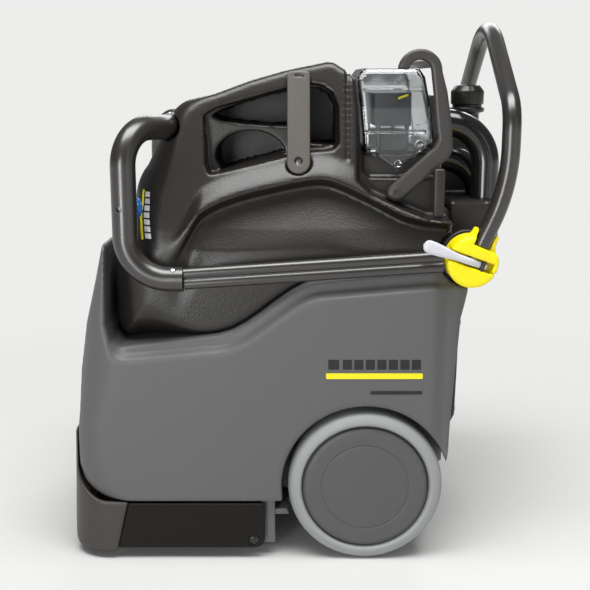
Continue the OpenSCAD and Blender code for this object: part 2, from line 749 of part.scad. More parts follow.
module handle_run(r) {
    both_sides() handle_half(r);
    translate([tube_x, 0, apex_z - apex_bend]) rotate([90, 0, 90])
        rotate([0, 0, shoulder_turn]) pipe_bend(r, apex_bend, 180 - 2 * shoulder_turn);
}

module handle_loop() color("#2b2927") handle_run(handle_r);

// ---- rear of the body -------------------------------------------------------------------

module rear_cover() color("#4b4d4e") difference() {
    side_prism([[226, 182], [232, 182], [239, 200], [241, 300], [244, 350], [238, 350], [234, 290]],
               -150, 150);
    translate([220, 60, 230]) rotate([0, 90, 0]) cylinder(r = 16, h = 40);
}

module rear_cover_screws() color(steel) both_sides() for (z = [206, 336])
    translate([z > 300 ? 243.6 : 239.3, -138, z]) rotate([0, 90, 0]) cylinder(r = 5, h = 2.5);

module power_inlet() color("#1b1b1b") translate([231, 60, 230]) rotate([0, 90, 0]) difference() {
    union() {
        cylinder(r = 15.9, h = 12);
        translate([0, 0, 9.5]) cylinder(r = 22, h = 4);
    }
    translate([0, 0, 4]) cylinder(r = 9, h = 20);
}

module rocker(y) color("#c22a2a") translate([housing_x1, y, rocker_z]) rotate([90, 0, 0]) union() {
    translate([0, 0, -9]) linear_extrude(height = 18) polygon([[-5, -12], [1, -12], [4, 12], [-5, 12]]);
    translate([0, 0, -9.8]) cylinder(r = 2, h = 19.6);
}

rocker_ys = [46, 76];

module rocker_vacuum() rocker(rocker_ys[0]);
module rocker_brush() rocker(rocker_ys[1]);

solution_tank();
base_plate();
front_cover();
side_plates();
side_plate_screws();
wheel_axle();
axle_clips();
tyre_left();
tyre_right();
rim_left();
rim_right();
hub_cover_left();
hub_cover_right();
brush_housing();
brush_roller();
brush_bearings();
brush_pulley();
motor_pulley();
drive_belt();
brush_motor();
suction_shoe();
spray_bar();
vacuum_motor();
solution_pump();
solution_filter();
recovery_tank();
tank_strap_left();
tank_strap_right();
strap_screws();
blue_cap();
badges();
inspection_dome();
dome_seal();
intake_deflector();
float_cage();
float_ball();
dome_bail();
bail_pins();
rear_posts();
vacuum_housing();
hose_upper();
hose_lower();
hose_clamps();
defoamer_stack();
front_loop();
side_rails();
loop_screws();
hinge_plates();
hinge_bolts();
joint_housing_left();
joint_housing_right();
cam_lever_left();
cam_lever_right();
cam_pins();
handle_loop();
rear_cover();
rear_cover_screws();
power_inlet();
rocker_vacuum();
rocker_brush();
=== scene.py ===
# Looks of a carpet extractor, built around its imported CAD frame. Lengths inside the shape functions are
# millimetres in the CAD frame; every mesh is scaled to metres when it is made.

import json
import math

import bmesh
import bpy
import numpy as np
from mathutils import Matrix, Vector


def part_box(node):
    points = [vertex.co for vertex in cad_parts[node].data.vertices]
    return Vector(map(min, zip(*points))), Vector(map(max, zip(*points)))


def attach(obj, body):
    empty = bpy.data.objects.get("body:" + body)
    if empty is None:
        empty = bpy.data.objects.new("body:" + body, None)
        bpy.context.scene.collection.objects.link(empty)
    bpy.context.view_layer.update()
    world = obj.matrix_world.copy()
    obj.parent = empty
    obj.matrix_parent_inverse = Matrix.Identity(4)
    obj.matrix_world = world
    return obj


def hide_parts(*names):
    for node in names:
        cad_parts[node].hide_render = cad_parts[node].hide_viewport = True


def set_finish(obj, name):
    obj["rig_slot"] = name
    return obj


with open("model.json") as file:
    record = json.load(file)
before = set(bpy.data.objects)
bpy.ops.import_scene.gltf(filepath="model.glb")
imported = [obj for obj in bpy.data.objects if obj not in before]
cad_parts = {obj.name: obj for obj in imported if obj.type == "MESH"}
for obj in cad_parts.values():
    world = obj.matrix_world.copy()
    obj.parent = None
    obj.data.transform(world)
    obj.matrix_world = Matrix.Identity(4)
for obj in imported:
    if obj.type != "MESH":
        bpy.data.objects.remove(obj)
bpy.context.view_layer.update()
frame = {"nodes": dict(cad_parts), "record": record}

MM = 0.001
ROOT = "chassis"


def node_box(node):
    """Lowest and highest corner of a CAD node at rest, in millimetres."""
    low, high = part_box(node)
    return np.array(low) / MM, np.array(high) / MM


def node_centre(node):
    low, high = node_box(node)
    return (low + high) / 2


# ---------------- driving dimensions, in millimetres

BODY_LOW, BODY_HIGH = node_box("solution_tank")
TANK_LOW, TANK_HIGH = node_box("recovery_tank")
BODY_HALF = BODY_HIGH[1]
TANK_HALF = TANK_HIGH[1]
WHEEL = node_centre("tyre_left")
WHEEL_R = (node_box("tyre_left")[1][2] - node_box("tyre_left")[0][2]) / 2
TYRE_IN = node_box("tyre_left")[1][1]
TYRE_OUT = node_box("tyre_left")[0][1]
RIM_R = (node_box("rim_left")[1][2] - node_box("rim_left")[0][2]) / 2
JOINT = np.array([245.0, 0.0, 437.0])
JOINT_OUT = node_box("joint_housing_left")[0][1]
JOINT_IN = node_box("joint_housing_left")[1][1]
JOINT_R = 35.0
RAIL_Y = 200.0
RAIL_X = -145.0
RAIL_LEAN = math.radians(3.9)
LEG_LEAN = math.radians(24)
LEG_BEND = 250.0
LEG_TOP = 590.0
BRUSH_X, BRUSH_Z = -226.0, 52.0
FACET = 40.0
ARC_STEP = 3.0
SIDES = ((-1, "left"), (1, "right"))
LOOP_R = 17.0
LOOP_Z = 411.0
LOOP_X = node_box("front_loop")[0][0] + LOOP_R
LOOP_TOP = node_box("front_loop")[1][2] - LOOP_R
HANDLE_R = 12.5
HANDLE_X = node_box("handle_loop")[1][0] - HANDLE_R
HANDLE_TOP = node_box("handle_loop")[1][2] - HANDLE_R
HOSE_R = 20.0
HOSE_X = 286.0
TOWER_X = 213.0
HEAD_FLOOR = node_box("front_cover")[0][2]


# ---------------- scene and shader helpers

def link_new(name, data):
    """A new object in the scene."""
    obj = bpy.data.objects.new(name, data)
    bpy.context.collection.objects.link(obj)
    return obj


def linear(level):
    """Display value 0..255 to scene-linear."""
    c = level / 255.0
    return c / 12.92 if c <= 0.04045 else ((c + 0.055) / 1.055) ** 2.4


def rgb(r, g, b):
    return (linear(r), linear(g), linear(b), 1.0)


def add_node(tree, kind, values=(), **settings):
    """A shader node with its settings and the values of its input sockets."""
    node = tree.nodes.new("ShaderNode" + kind)
    for key, value in settings.items():
        setattr(node, key, value)
    for key, value in dict(values).items():
        node.inputs[key].default_value = value
    return node


def new_material(name, values):
    """A material whose surface is one Principled BSDF."""
    mat = bpy.data.materials.new(name)
    mat.use_nodes = True
    bsdf = mat.node_tree.nodes["Principled BSDF"]
    for key, value in values.items():
        bsdf.inputs[key].default_value = value
    return mat, mat.node_tree, bsdf


# ---------------- camera, light and floor

PALE = rgb(237, 237, 236)


def add_camera():
    """Long lens, square to the left side, above the machine's middle and tipped down."""
    data = bpy.data.cameras.new("camera")
    data.sensor_width = 36.0
    data.lens = 61.45
    data.clip_end = 400.0
    cam = link_new("camera", data)
    cam.location = (0.007, -1.545, 0.675)
    cam.rotation_euler = (math.radians(90 - 12.02), 0, 0)
    bpy.context.scene.camera = cam


def area_light(name, place, target, size, power):
    data = bpy.data.lights.new(name, "AREA")
    data.shape = "RECTANGLE"
    data.size, data.size_y = size
    data.energy = power
    lamp = link_new(name, data)
    lamp.location = place
    lamp.rotation_euler = (Vector(target) - Vector(place)).to_track_quat("-Z", "Y").to_euler()


def add_lights():
    area_light("overhead", (0.0, -0.75, 2.6), (0, 0, 0.35), (2.4, 1.3), 90)
    area_light("key", (-0.85, -2.3, 0.45), (0, 0, 0.4), (0.6, 1.1), 22)
    area_light("fill", (1.9, -1.9, 0.9), (0, 0, 0.3), (0.5, 1.4), 2)
    area_light("rim", (0.3, 2.0, 1.8), (0, 0, 0.5), (2.2, 0.8), 26)


def add_world():
    """A plain backdrop that the camera sees, and a dimmer white that lights the scene."""
    world = bpy.data.worlds.new("studio")
    bpy.context.scene.world = world
    world.use_nodes = True
    tree = world.node_tree
    tree.nodes.clear()
    out = add_node(tree, "OutputWorld")
    seen = add_node(tree, "Background", {"Color": PALE})
    lit = add_node(tree, "Background", {"Color": (1, 1, 1, 1), "Strength": 0.16})
    mix = add_node(tree, "MixShader")
    path = add_node(tree, "LightPath")
    tree.links.new(path.outputs["Is Camera Ray"], mix.inputs[0])
    tree.links.new(lit.outputs[0], mix.inputs[1])
    tree.links.new(seen.outputs[0], mix.inputs[2])
    tree.links.new(mix.outputs[0], out.inputs["Surface"])


def add_floor():
    """Pale floor that takes the shadow near the machine and fades to the backdrop's tone further out."""
    mesh = bpy.data.meshes.new("floor")
    reach = 150.0
    mesh.from_pydata([(-reach, -reach, 0), (reach, -reach, 0), (reach, reach, 0), (-reach, reach, 0)], [],
                     [(0, 1, 2, 3)])
    floor = link_new("floor", mesh)
    mat, tree, bsdf = new_material("floor", {"Base Color": rgb(212, 212, 211), "Roughness": 0.9,
                                             "Specular IOR Level": 0.1})
    glow = add_node(tree, "Emission", {"Color": PALE})
    geo = add_node(tree, "NewGeometry")
    length = add_node(tree, "VectorMath", operation="LENGTH")
    ramp = add_node(tree, "MapRange", {"From Min": 0.35, "From Max": 1.5}, interpolation_type="SMOOTHSTEP")
    mix = add_node(tree, "MixShader")
    tree.links.new(geo.outputs["Position"], length.inputs[0])
    tree.links.new(length.outputs["Value"], ramp.inputs["Value"])
    tree.links.new(ramp.outputs["Result"], mix.inputs[0])
    tree.links.new(bsdf.outputs[0], mix.inputs[1])
    tree.links.new(glow.outputs[0], mix.inputs[2])
    tree.links.new(mix.outputs[0], tree.nodes["Material Output"].inputs["Surface"])
    mesh.materials.append(mat)


# ---------------- materials

def shade(name, colour, rough, drift=0.12, drift_size=9.0, grain=1400.0, grain_depth=0.00005,
          rough_drift=0.08, worn=None, metal=0.0, coat=0.0, specular=0.5):
    """Opaque surface: slow drift of tone and roughness, fine grain in tone and bump, paler worn edges."""
    mat, tree, bsdf = new_material(name, {"Metallic": metal, "Coat Weight": coat, "Coat Roughness": 0.12,
                                          "Specular IOR Level": specular})
    link = tree.links.new
    where = add_node(tree, "TexCoord")
    slow = add_node(tree, "TexNoise", {"Scale": drift_size, "Detail": 4.0})
    fine = add_node(tree, "TexNoise", {"Scale": grain, "Detail": 2.0})
    link(where.outputs["Object"], slow.inputs["Vector"])
    link(where.outputs["Object"], fine.inputs["Vector"])
    tone = add_node(tree, "Mix", data_type="RGBA")
    tone.inputs["A"].default_value = [c * (1 - drift) for c in colour[:3]] + [1.0]
    tone.inputs["B"].default_value = [min(1.0, c * (1 + drift)) for c in colour[:3]] + [1.0]
    link(slow.outputs["Fac"], tone.inputs["Factor"])
    speck = add_node(tree, "Mix", {"Factor": 0.35}, data_type="RGBA", blend_type="MULTIPLY")
    grey = add_node(tree, "ValToRGB")
    dark, full = grey.color_ramp.elements
    dark.position, dark.color = 0.3, (0.72, 0.72, 0.72, 1)
    full.position, full.color = 0.7, (1.0, 1.0, 1.0, 1)
    link(fine.outputs["Fac"], grey.inputs["Fac"])
    link(tone.outputs["Result"], speck.inputs["A"])
    link(grey.outputs["Color"], speck.inputs["B"])
    last = speck.outputs["Result"]
    bump = add_node(tree, "Bump", {"Strength": 0.6, "Distance": grain_depth})
    link(fine.outputs["Fac"], bump.inputs["Height"])
    link(bump.outputs["Normal"], bsdf.inputs["Normal"])
    if worn is not None:
        geo = add_node(tree, "NewGeometry")
        edge = add_node(tree, "MapRange", {"From Min": 0.53, "From Max": 0.62, "To Max": worn})
        wear = add_node(tree, "Mix", data_type="RGBA")
        wear.inputs["B"].default_value = [min(1.0, c * 2.2 + 0.02) for c in colour[:3]] + [1.0]
        link(geo.outputs["Pointiness"], edge.inputs["Value"])
        link(edge.outputs["Result"], wear.inputs["Factor"])
        link(last, wear.inputs["A"])
        last = wear.outputs["Result"]
    link(last, bsdf.inputs["Base Color"])
    rough_range = add_node(tree, "MapRange", {"To Min": max(0.02, rough - rough_drift),
                                              "To Max": min(1.0, rough + rough_drift)})
    link(slow.outputs["Fac"], rough_range.inputs["Value"])
    link(rough_range.outputs["Result"], bsdf.inputs["Roughness"])
    return mat


def clear_shell(name):
    """Clear polycarbonate with faint haze."""
    mat, tree, bsdf = new_material(name, {"Base Color": (0.87, 0.89, 0.9, 1), "Transmission Weight": 1.0,
                                          "IOR": 1.49})
    where = add_node(tree, "TexCoord")
    haze = add_node(tree, "TexNoise", {"Scale": 60.0, "Detail": 5.0})
    span = add_node(tree, "MapRange", {"From Min": 0.45, "From Max": 0.8, "To Min": 0.02, "To Max": 0.14})
    tree.links.new(where.outputs["Object"], haze.inputs["Vector"])
    tree.links.new(haze.outputs["Fac"], span.inputs["Value"])
    tree.links.new(span.outputs["Result"], bsdf.inputs["Roughness"])
    return mat


LOOKS = {
    "grey_shell": ((91, 91, 91), 0.5, dict(drift=0.05, grain=1100, grain_depth=0.00003, worn=0.25)),
    "black_shell": ((29, 26, 23), 0.36, dict(drift=0.15, grain=430, grain_depth=0.0004, worn=0.35,
                                             specular=0.55)),
    "dark_moulding": ((40, 37, 35), 0.38, dict(drift=0.1, grain=1300, worn=0.4)),
    "brown_cover": ((58, 53, 50), 0.45, dict(drift=0.1, grain=1200, worn=0.25)),
    "plate_black": ((19, 16, 14), 0.5, dict(drift=0.12, grain=1000, worn=0.3, specular=0.2)),
    "tube_black": ((36, 33, 31), 0.3, dict(drift=0.08, grain=1800, grain_depth=0.00002, rough_drift=0.05,
                                           specular=1.0)),
    "tyre_grey": ((150, 153, 153), 0.6, dict(drift=0.06, drift_size=14, grain=900, grain_depth=0.00006)),
    "hub_grey": ((82, 82, 82), 0.5, dict(drift=0.06, grain=1200, grain_depth=0.00003)),
    "yellow_plastic": ((250, 232, 0), 0.34, dict(drift=0.05, grain=1500, grain_depth=0.00002, worn=0.1)),
    "lever_grey": ((205, 205, 212), 0.38, dict(drift=0.06, grain=1500, grain_depth=0.00002)),
    "strap_grey": ((88, 85, 81), 0.4, dict(drift=0.08, grain=1200, worn=0.2)),
    "hose_black": ((26, 25, 24), 0.2, dict(drift=0.2, grain=500, grain_depth=0.00001, rough_drift=0.05,
                                           coat=0.4)),
    "black_gloss": ((30, 28, 26), 0.3, dict(drift=0.15, grain=1200, grain_depth=0.00002, worn=0.3)),
    "steel": ((200, 203, 206), 0.28, dict(drift=0.08, drift_size=60, grain=2500, grain_depth=0.00001,
                                          metal=1.0)),
    "aluminium": ((190, 192, 194), 0.45, dict(drift=0.1, drift_size=40, grain=900, grain_depth=0.00004,
                                              metal=1.0)),
    "blue_plastic": ((40, 112, 190), 0.25, dict(drift=0.08, grain_depth=0.00001, coat=0.3)),
    "red_plastic": ((190, 34, 26), 0.3, dict(drift=0.08, grain_depth=0.00001)),
    "clamp_clear": ((226, 229, 230), 0.25, dict(drift=0.08, drift_size=80, grain_depth=0.00001, coat=0.3)),
    "seal_black": ((26, 25, 24), 0.6, dict(drift=0.2, grain=1500, worn=0.2)),
    "badge": ((22, 22, 22), 0.4, dict(drift=0.1, grain_depth=0.00001)),
    "badge_yellow": ((248, 232, 0), 0.4, dict(drift=0.03, grain_depth=0.00001)),
    "badge_white": ((214, 214, 212), 0.4, dict(drift=0.04, grain_depth=0.00001)),
    "orange_plastic": ((226, 132, 30), 0.3, dict(drift=0.06, grain_depth=0.00001)),
    "white_plastic": ((215, 217, 217), 0.4, dict(drift=0.05, grain=1500)),
    "bristle": ((40, 38, 36), 0.55, dict(drift=0.3, drift_size=120, grain=2000)),
    "tint_plate": ((74, 75, 78), 0.3, dict(drift=0.08, grain_depth=0.00001)),
    "bail_grey": ((60, 57, 55), 0.36, dict(drift=0.08, grain=1200, worn=0.35)),
}
MATS = {name: shade(name, rgb(*colour), rough, **rest) for name, (colour, rough, rest) in LOOKS.items()}
MATS["clear"] = clear_shell("clear")


# ---------------- mesh helpers

def piece(name, verts, faces, slot, body=ROOT, replaces=(), material=None):
    """A mesh piece, given in millimetres, that rides on a body and may stand for CAD nodes."""
    mesh = bpy.data.meshes.new(name)
    mesh.from_pydata([tuple(float(c) * MM for c in v) for v in verts], [], [tuple(f) for f in faces])
    mesh.validate()
    return finish_piece(name, mesh, slot, body, replaces, material)


def soften(mesh, angle=FACET):
    """Smooth shading with sharp edges where faces meet at more than an angle in degrees."""
    mesh.shade_smooth()
    mesh.set_sharp_from_angle(angle=math.radians(angle))


def finish_piece(name, mesh, slot, body=ROOT, replaces=(), material=None, angle=FACET):
    obj = link_new(name, mesh)
    mesh.materials.clear()
    mesh.materials.append(MATS[material or slot])
    soften(mesh, angle)
    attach(obj, body)
    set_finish(obj, slot)
    if replaces:
        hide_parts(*replaces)
    return obj


def apply_modifiers(obj):
    """Bake the modifiers of a piece into its mesh."""
    view = bpy.context.evaluated_depsgraph_get()
    view.update()
    baked = bpy.data.meshes.new_from_object(obj.evaluated_get(view))
    obj.modifiers.clear()
    obj.data = baked


def bevel(obj, width, segments=3):
    mod = obj.modifiers.new("bevel", "BEVEL")
    mod.width = width * MM
    mod.segments = segments
    mod.limit_method = "ANGLE"
    mod.angle_limit = math.radians(30)
    apply_modifiers(obj)
    soften(obj.data)


def refined(node, slot, body=ROOT, width=1.0, material=None, segments=2):
    """A CAD node rebuilt with clean faces and rounded edges."""
    mesh = frame["nodes"][node].data.copy()
    work = bmesh.new()
    work.from_mesh(mesh)
    bmesh.ops.remove_doubles(work, verts=work.verts, dist=0.00001)
    bmesh.ops.dissolve_limit(work, angle_limit=math.radians(2), verts=work.verts, edges=work.edges)
    work.to_mesh(mesh)
    work.free()
    obj = finish_piece(node + "_fine", mesh, slot, body, (node,), material)
    bevel(obj, width, segments)
    return obj


def smooth_step(a, b, x):
    t = np.clip((x - a) / (b - a), 0, 1)
    return t * t * (3 - 2 * t)


def arc(cx, cz, r, a0, a1, n=8):
    angles = np.radians(np.linspace(a0, a1, n + 1))
    return [(cx + r * math.cos(a), cz + r * math.sin(a)) for a in angles]


def outline_distance(points, u, v):
    """Signed distance to a closed outline, negative inside."""
    p = np.array(points, float)
    q = np.roll(p, -1, axis=0)
    best = np.full(np.broadcast(u, v).shape, 1e9)
    inside = np.zeros(best.shape, bool)
    for (x0, y0), (x1, y1) in zip(p, q):
        ex, ey = x1 - x0, y1 - y0
        length = ex * ex + ey * ey
        if length < 1e-9:
            continue
        t = np.clip(((u - x0) * ex + (v - y0) * ey) / length, 0, 1)
        best = np.minimum(best, (u - x0 - t * ex) ** 2 + (v - y0 - t * ey) ** 2)
        if y0 != y1:
            cross = (y0 > v) != (y1 > v)
            inside ^= cross & (u < ex * (v - y0) / (y1 - y0) + x0)
    return np.where(inside, -np.sqrt(best), np.sqrt(best))


def soft_max(a, b, k):
    h = np.clip(0.5 + 0.5 * (a - b) / k, 0, 1)
    return b + (a - b) * h + k * h * (1 - h)


def soft_min(a, b, k):
    return -soft_max(-a, -b, k)


def cut(a, b, k=2.0):
    """a without b, with a small fillet."""
    return soft_max(a, -b, k)


def block(u, lo, hi):
    """Distance to a slab lo..hi along one axis."""
    return np.maximum(lo - u, u - hi)


CORNERS = [(i, j, k) for i in (0, 1) for j in (0, 1) for k in (0, 1)]
EDGES = [(a, b) for a in CORNERS for b in CORNERS if a < b and sum(abs(p - q) for p, q in zip(a, b)) == 1]


def net(values, axes):
    """Vertices and quads of the zero level of a sampled field that is negative inside."""
    inside = values < 0
    shape = tuple(n - 1 for n in values.shape)
    count = np.zeros(shape, np.int8)
    for i, j, k in CORNERS:
        count += inside[i:i + shape[0], j:j + shape[1], k:k + shape[2]]
    cells = np.argwhere((count > 0) & (count < 8))
    total = np.zeros((len(cells), 3))
    number = np.zeros(len(cells))
    for a, b in EDGES:
        va = values[tuple((cells + a).T)]
        vb = values[tuple((cells + b).T)]
        hit = (va < 0) != (vb < 0)
        t = np.where(hit, va / np.where(hit, va - vb, 1), 0)
        spot = np.array(a) + t[:, None] * (np.array(b) - np.array(a))
        total += spot * hit[:, None]
        number += hit
    local = cells + total / number[:, None]
    verts = np.stack([np.interp(local[:, n], np.arange(len(axes[n])), axes[n]) for n in range(3)], axis=1)
    index = np.full(shape, -1, np.int64)
    index[tuple(cells.T)] = np.arange(len(cells))
    faces = []
    for axis in range(3):
        step = np.eye(3, dtype=int)[axis]
        one, two = np.eye(3, dtype=int)[(axis + 1) % 3], np.eye(3, dtype=int)[(axis + 2) % 3]
        here = inside[tuple(slice(0, n - s) for n, s in zip(inside.shape, step))]
        there = inside[tuple(slice(s, n) for n, s in zip(inside.shape, step))]
        spots = np.argwhere(here != there)
        low = (one + two)[None, :]
        spots = spots[np.all(spots >= low, axis=1) & np.all(spots < np.array(shape), axis=1)]
        quad = np.stack([index[tuple((spots - d).T)] for d in (0 * one, one, one + two, two)], axis=1)
        flip = ~inside[tuple(spots.T)]
        quad[flip] = quad[flip][:, ::-1]
        faces.append(quad[np.all(quad >= 0, axis=1)])
    return verts, np.concatenate(faces)


def solid(name, low, high, step, field, slot, body=ROOT, replaces=(), mirrored=True, material=None):
    """A piece from a distance field; a mirrored one is sampled on the left half and reflected in Y."""
    x = np.arange(low[0] - 2 * step, high[0] + 2 * step, step)
    z = np.arange(low[2] - 2 * step, high[2] + 2 * step, step)
    if mirrored:
        n = int(math.ceil(-low[1] / step)) + 2
        y = -(np.arange(n, 0, -1) - 0.5) * step
        half = field(x[:, None, None], y[None, :, None], z[None, None, :])
        values = np.concatenate([half, half[:, ::-1]], axis=1)
        y = np.concatenate([y, -y[::-1]])
    else:
        y = np.arange(low[1] - 2 * step, high[1] + 2 * step, step)
        values = field(x[:, None, None], y[None, :, None], z[None, None, :])
    verts, faces = net(values, (x, y, z))
    mesh = bpy.data.meshes.new(name)
    mesh.from_pydata((verts * MM).tolist(), [], faces.tolist())
    mesh.validate()
    return finish_piece(name, mesh, slot, body, replaces, material, angle=50.0)


def mirrored_copy(obj, name, body=ROOT, replaces=()):
    """The same piece on the right side of the machine."""
    mesh = obj.data.copy()
    mesh.transform(Matrix.Scale(-1, 4, (0, 1, 0)))
    mesh.flip_normals()
    twin = link_new(name, mesh)
    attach(twin, body)
    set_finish(twin, obj["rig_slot"])
    if replaces:
        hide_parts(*replaces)
    return twin


def rounded_path(corners, radii):
    """Points along straight runs joined by arcs, with one radius for each inner corner."""
    pts = [Vector(c) for c in corners]
    out = [pts[0]]
    for i in range(1, len(pts) - 1):
        a = (pts[i - 1] - pts[i]).normalized()
        b = (pts[i + 1] - pts[i]).normalized()
        turn = math.pi - a.angle(b)
        r = radii[i - 1]
        reach = r * math.tan(turn / 2)
        centre = pts[i] + (a + b).normalized() * (r / math.cos(turn / 2))
        start = pts[i] + a * reach - centre
        axis = start.cross(pts[i] + b * reach - centre).normalized()
        n = max(4, int(r * turn / ARC_STEP))
        for k in range(n + 1):
            out.append(centre + Matrix.Rotation(turn * k / n, 3, axis) @ start)
    out.append(pts[-1])
    return out


def circle_profile(r, n):
    return [(r * math.cos(2 * math.pi * k / n), r * math.sin(2 * math.pi * k / n)) for k in range(n)]


def box_profile(w, h, r, n=4):
    """Rounded rectangle, w across the first normal and h across the second."""
    cx, cy = w / 2 - r, h / 2 - r
    return (arc(cx, cy, r, 0, 90, n) + arc(-cx, cy, r, 90, 180, n) + arc(-cx, -cy, r, 180, 270, n)
            + arc(cx, -cy, r, 270, 360, n))


def sweep(path, profile, first=(0, 1, 0)):
    """Skin a profile along a path; first is the direction of the profile's first axis at the start."""
    pts = [Vector(p) for p in path]
    clean = [pts[0]]
    for p in pts[1:]:
        if (p - clean[-1]).length > 0.05:
            clean.append(p)
    pts = clean
    tangents = [(pts[min(i + 1, len(pts) - 1)] - pts[max(i - 1, 0)]).normalized() for i in range(len(pts))]
    u = Vector(first)
    u = (u - tangents[0] * u.dot(tangents[0])).normalized()
    verts, faces = [], []
    n = len(profile)
    for i, (p, t) in enumerate(zip(pts, tangents)):
        if i:
            u = tangents[i - 1].rotation_difference(t) @ u
            u = (u - t * u.dot(t)).normalized()
        v = t.cross(u)
        verts += [p + u * a + v * b for a, b in profile]
    for i in range(len(pts) - 1):
        for k in range(n):
            faces.append((i * n + k, i * n + (k + 1) % n, (i + 1) * n + (k + 1) % n, (i + 1) * n + k))
    faces.append(tuple(range(n - 1, -1, -1)))
    faces.append(tuple(range((len(pts) - 1) * n, len(pts) * n)))
    return verts, faces


def merge(*parts):
    verts, faces = [], []
    for v, f in parts:
        faces += [tuple(i + len(verts) for i in face) for face in f]
        verts += list(v)
    return verts, faces


def lathe(profile, centre, along=(0, 1, 0), first=(1, 0, 0), n=96, closed=False, ribs=None):
    """Turn (radius, distance) pairs round an axis through centre; ribs may change a radius with the angle."""
    centre, along, first = Vector(centre), Vector(along), Vector(first)
    second = along.cross(first)
    verts, faces = [], []
    m = len(profile)
    for k in range(n):
        a = 2 * math.pi * k / n
        out = first * math.cos(a) + second * math.sin(a)
        verts += [centre + out * (ribs(a, r, d) if ribs else r) + along * d for r, d in profile]
    last = m if closed else m - 1
    for k in range(n):
        here, there = k * m, (k + 1) % n * m
        for j in range(last):
            faces.append((here + j, here + (j + 1) % m, there + (j + 1) % m, there + j))
    return verts, faces


def tidy_mesh(obj):
    """Join the doubled points of a turned or swept mesh and point its faces outwards."""
    work = bmesh.new()
    work.from_mesh(obj.data)
    bmesh.ops.remove_doubles(work, verts=work.verts, dist=0.00002)
    bmesh.ops.dissolve_degenerate(work, edges=work.edges, dist=0.00001)
    bmesh.ops.recalc_face_normals(work, faces=work.faces)
    work.to_mesh(obj.data)
    work.free()
    soften(obj.data)
    return obj


# ---------------- lower body

def seam(x):
    """Height of the gap between the grey body and the black tank."""
    return 342 + x / 8 + 60 * smooth_step(-100, 40, x)


def panel_edge(x):
    """Height of the upper border of the proud side panel."""
    return 316 + 0.09 * x + 62 * smooth_step(-100, 45, x)


def plan_distance(x, y, front, rear, half, r_front, r_rear):
    """Distance to a rectangle seen from above with round corners, for the left half."""
    middle = (front + rear) / 2
    r = np.where(x < middle, r_front, r_rear)
    qx = np.abs(x - middle) - ((rear - front) / 2 - r)
    qy = -y - (half - r)
    outside = np.hypot(np.maximum(qx, 0), np.maximum(qy, 0))
    return outside + np.minimum(np.maximum(qx, qy), 0) - r


def rod_distance(x, y, z, cx, cz, r, y0, y1):
    return np.maximum(np.hypot(x - cx, z - cz) - r, block(y, y0, y1))


def joint_seat(x, y, z):
    """Round hollow behind the handle's clamp."""
    return rod_distance(x, y, z, JOINT[0], JOINT[2], 40, -260, -157)


def brush_room(x, y, z):
    """Round space that the brush turns in."""
    return rod_distance(x, y, z, BRUSH_X, BRUSH_Z, 63, -173, 173)


def rail_pocket(x, y, z):
    """Groove that the side rail lies in."""
    s, c = math.sin(RAIL_LEAN), math.cos(RAIL_LEAN)
    u = (x - RAIL_X) * c + (z - LOOP_Z) * s
    w = (z - LOOP_Z) * c - (x - RAIL_X) * s
    return np.maximum(np.maximum(block(u, -10, 410), block(w, -16, 60)), block(y, -RAIL_Y - 12, -RAIL_Y + 18))


def body_field(x, y, z):
    """Rotomoulded grey body with its proud side panels, wheel arches and motor bay."""
    top = [(px, float(seam(px))) for px in range(200, -221, -20)]
    outline = ([(-256, 452), (-265, 452), (-276, 402), (-291, 340), (-300, 270), (-306, 182)]
               + arc(-258, 136, 48, 190, 262, 8)
               + [(-205, 88), (107, 88), (222, 128), (225, 180), (232, 290), (236, 350),
                  (250, 402), (244, 430)]
               + top + [(-236, 312.5), (-249, 320), (-256, 343)])
    side = outline_distance(outline, x, z)
    band = soft_min(z - panel_edge(x), x + 252, 26)
    rear_edge = smooth_step(-14, 8, x - 210) * smooth_step(120, 200, z)
    half = BODY_HALF - 13 * smooth_step(-2, 11, band) - 9 * rear_edge
    front = np.interp(z, [88, 92, 100, 112, 136, 182, 270, 340, 402, 452],
                      [-266, -278, -290, -299.6, -306, -306, -300, -291, -276, -265])
    plan = plan_distance(x, y, front, 252, half, 47 + 13 * smooth_step(190, 270, z), 22)
    shape = soft_max(side, plan, 4 + 5 * smooth_step(170, 240, z))
    arch = rod_distance(x, y, z, WHEEL[0], WHEEL[2], 119, -260, -148)
    bay = np.maximum(np.maximum(block(x, -232, 206), block(y, -190, 190)), z - 222)
    bay = np.maximum(bay, -rod_distance(x, y, z, WHEEL[0], WHEEL[2], 124, -260, -143))
    shape = cut(shape, arch, 5)
    shape = cut(shape, bay, 2)
    shape = cut(shape, joint_seat(x, y, z), 4)
    shape = cut(shape, brush_room(x, y, z), 2)
    return cut(shape, rail_pocket(x, y, z), 4)


def make_body():
    solid("body_shell", (BODY_LOW[0] - 4, -206, 84), (256, 206, 456), 3.0, body_field, "grey_shell",
          replaces=("solution_tank",))


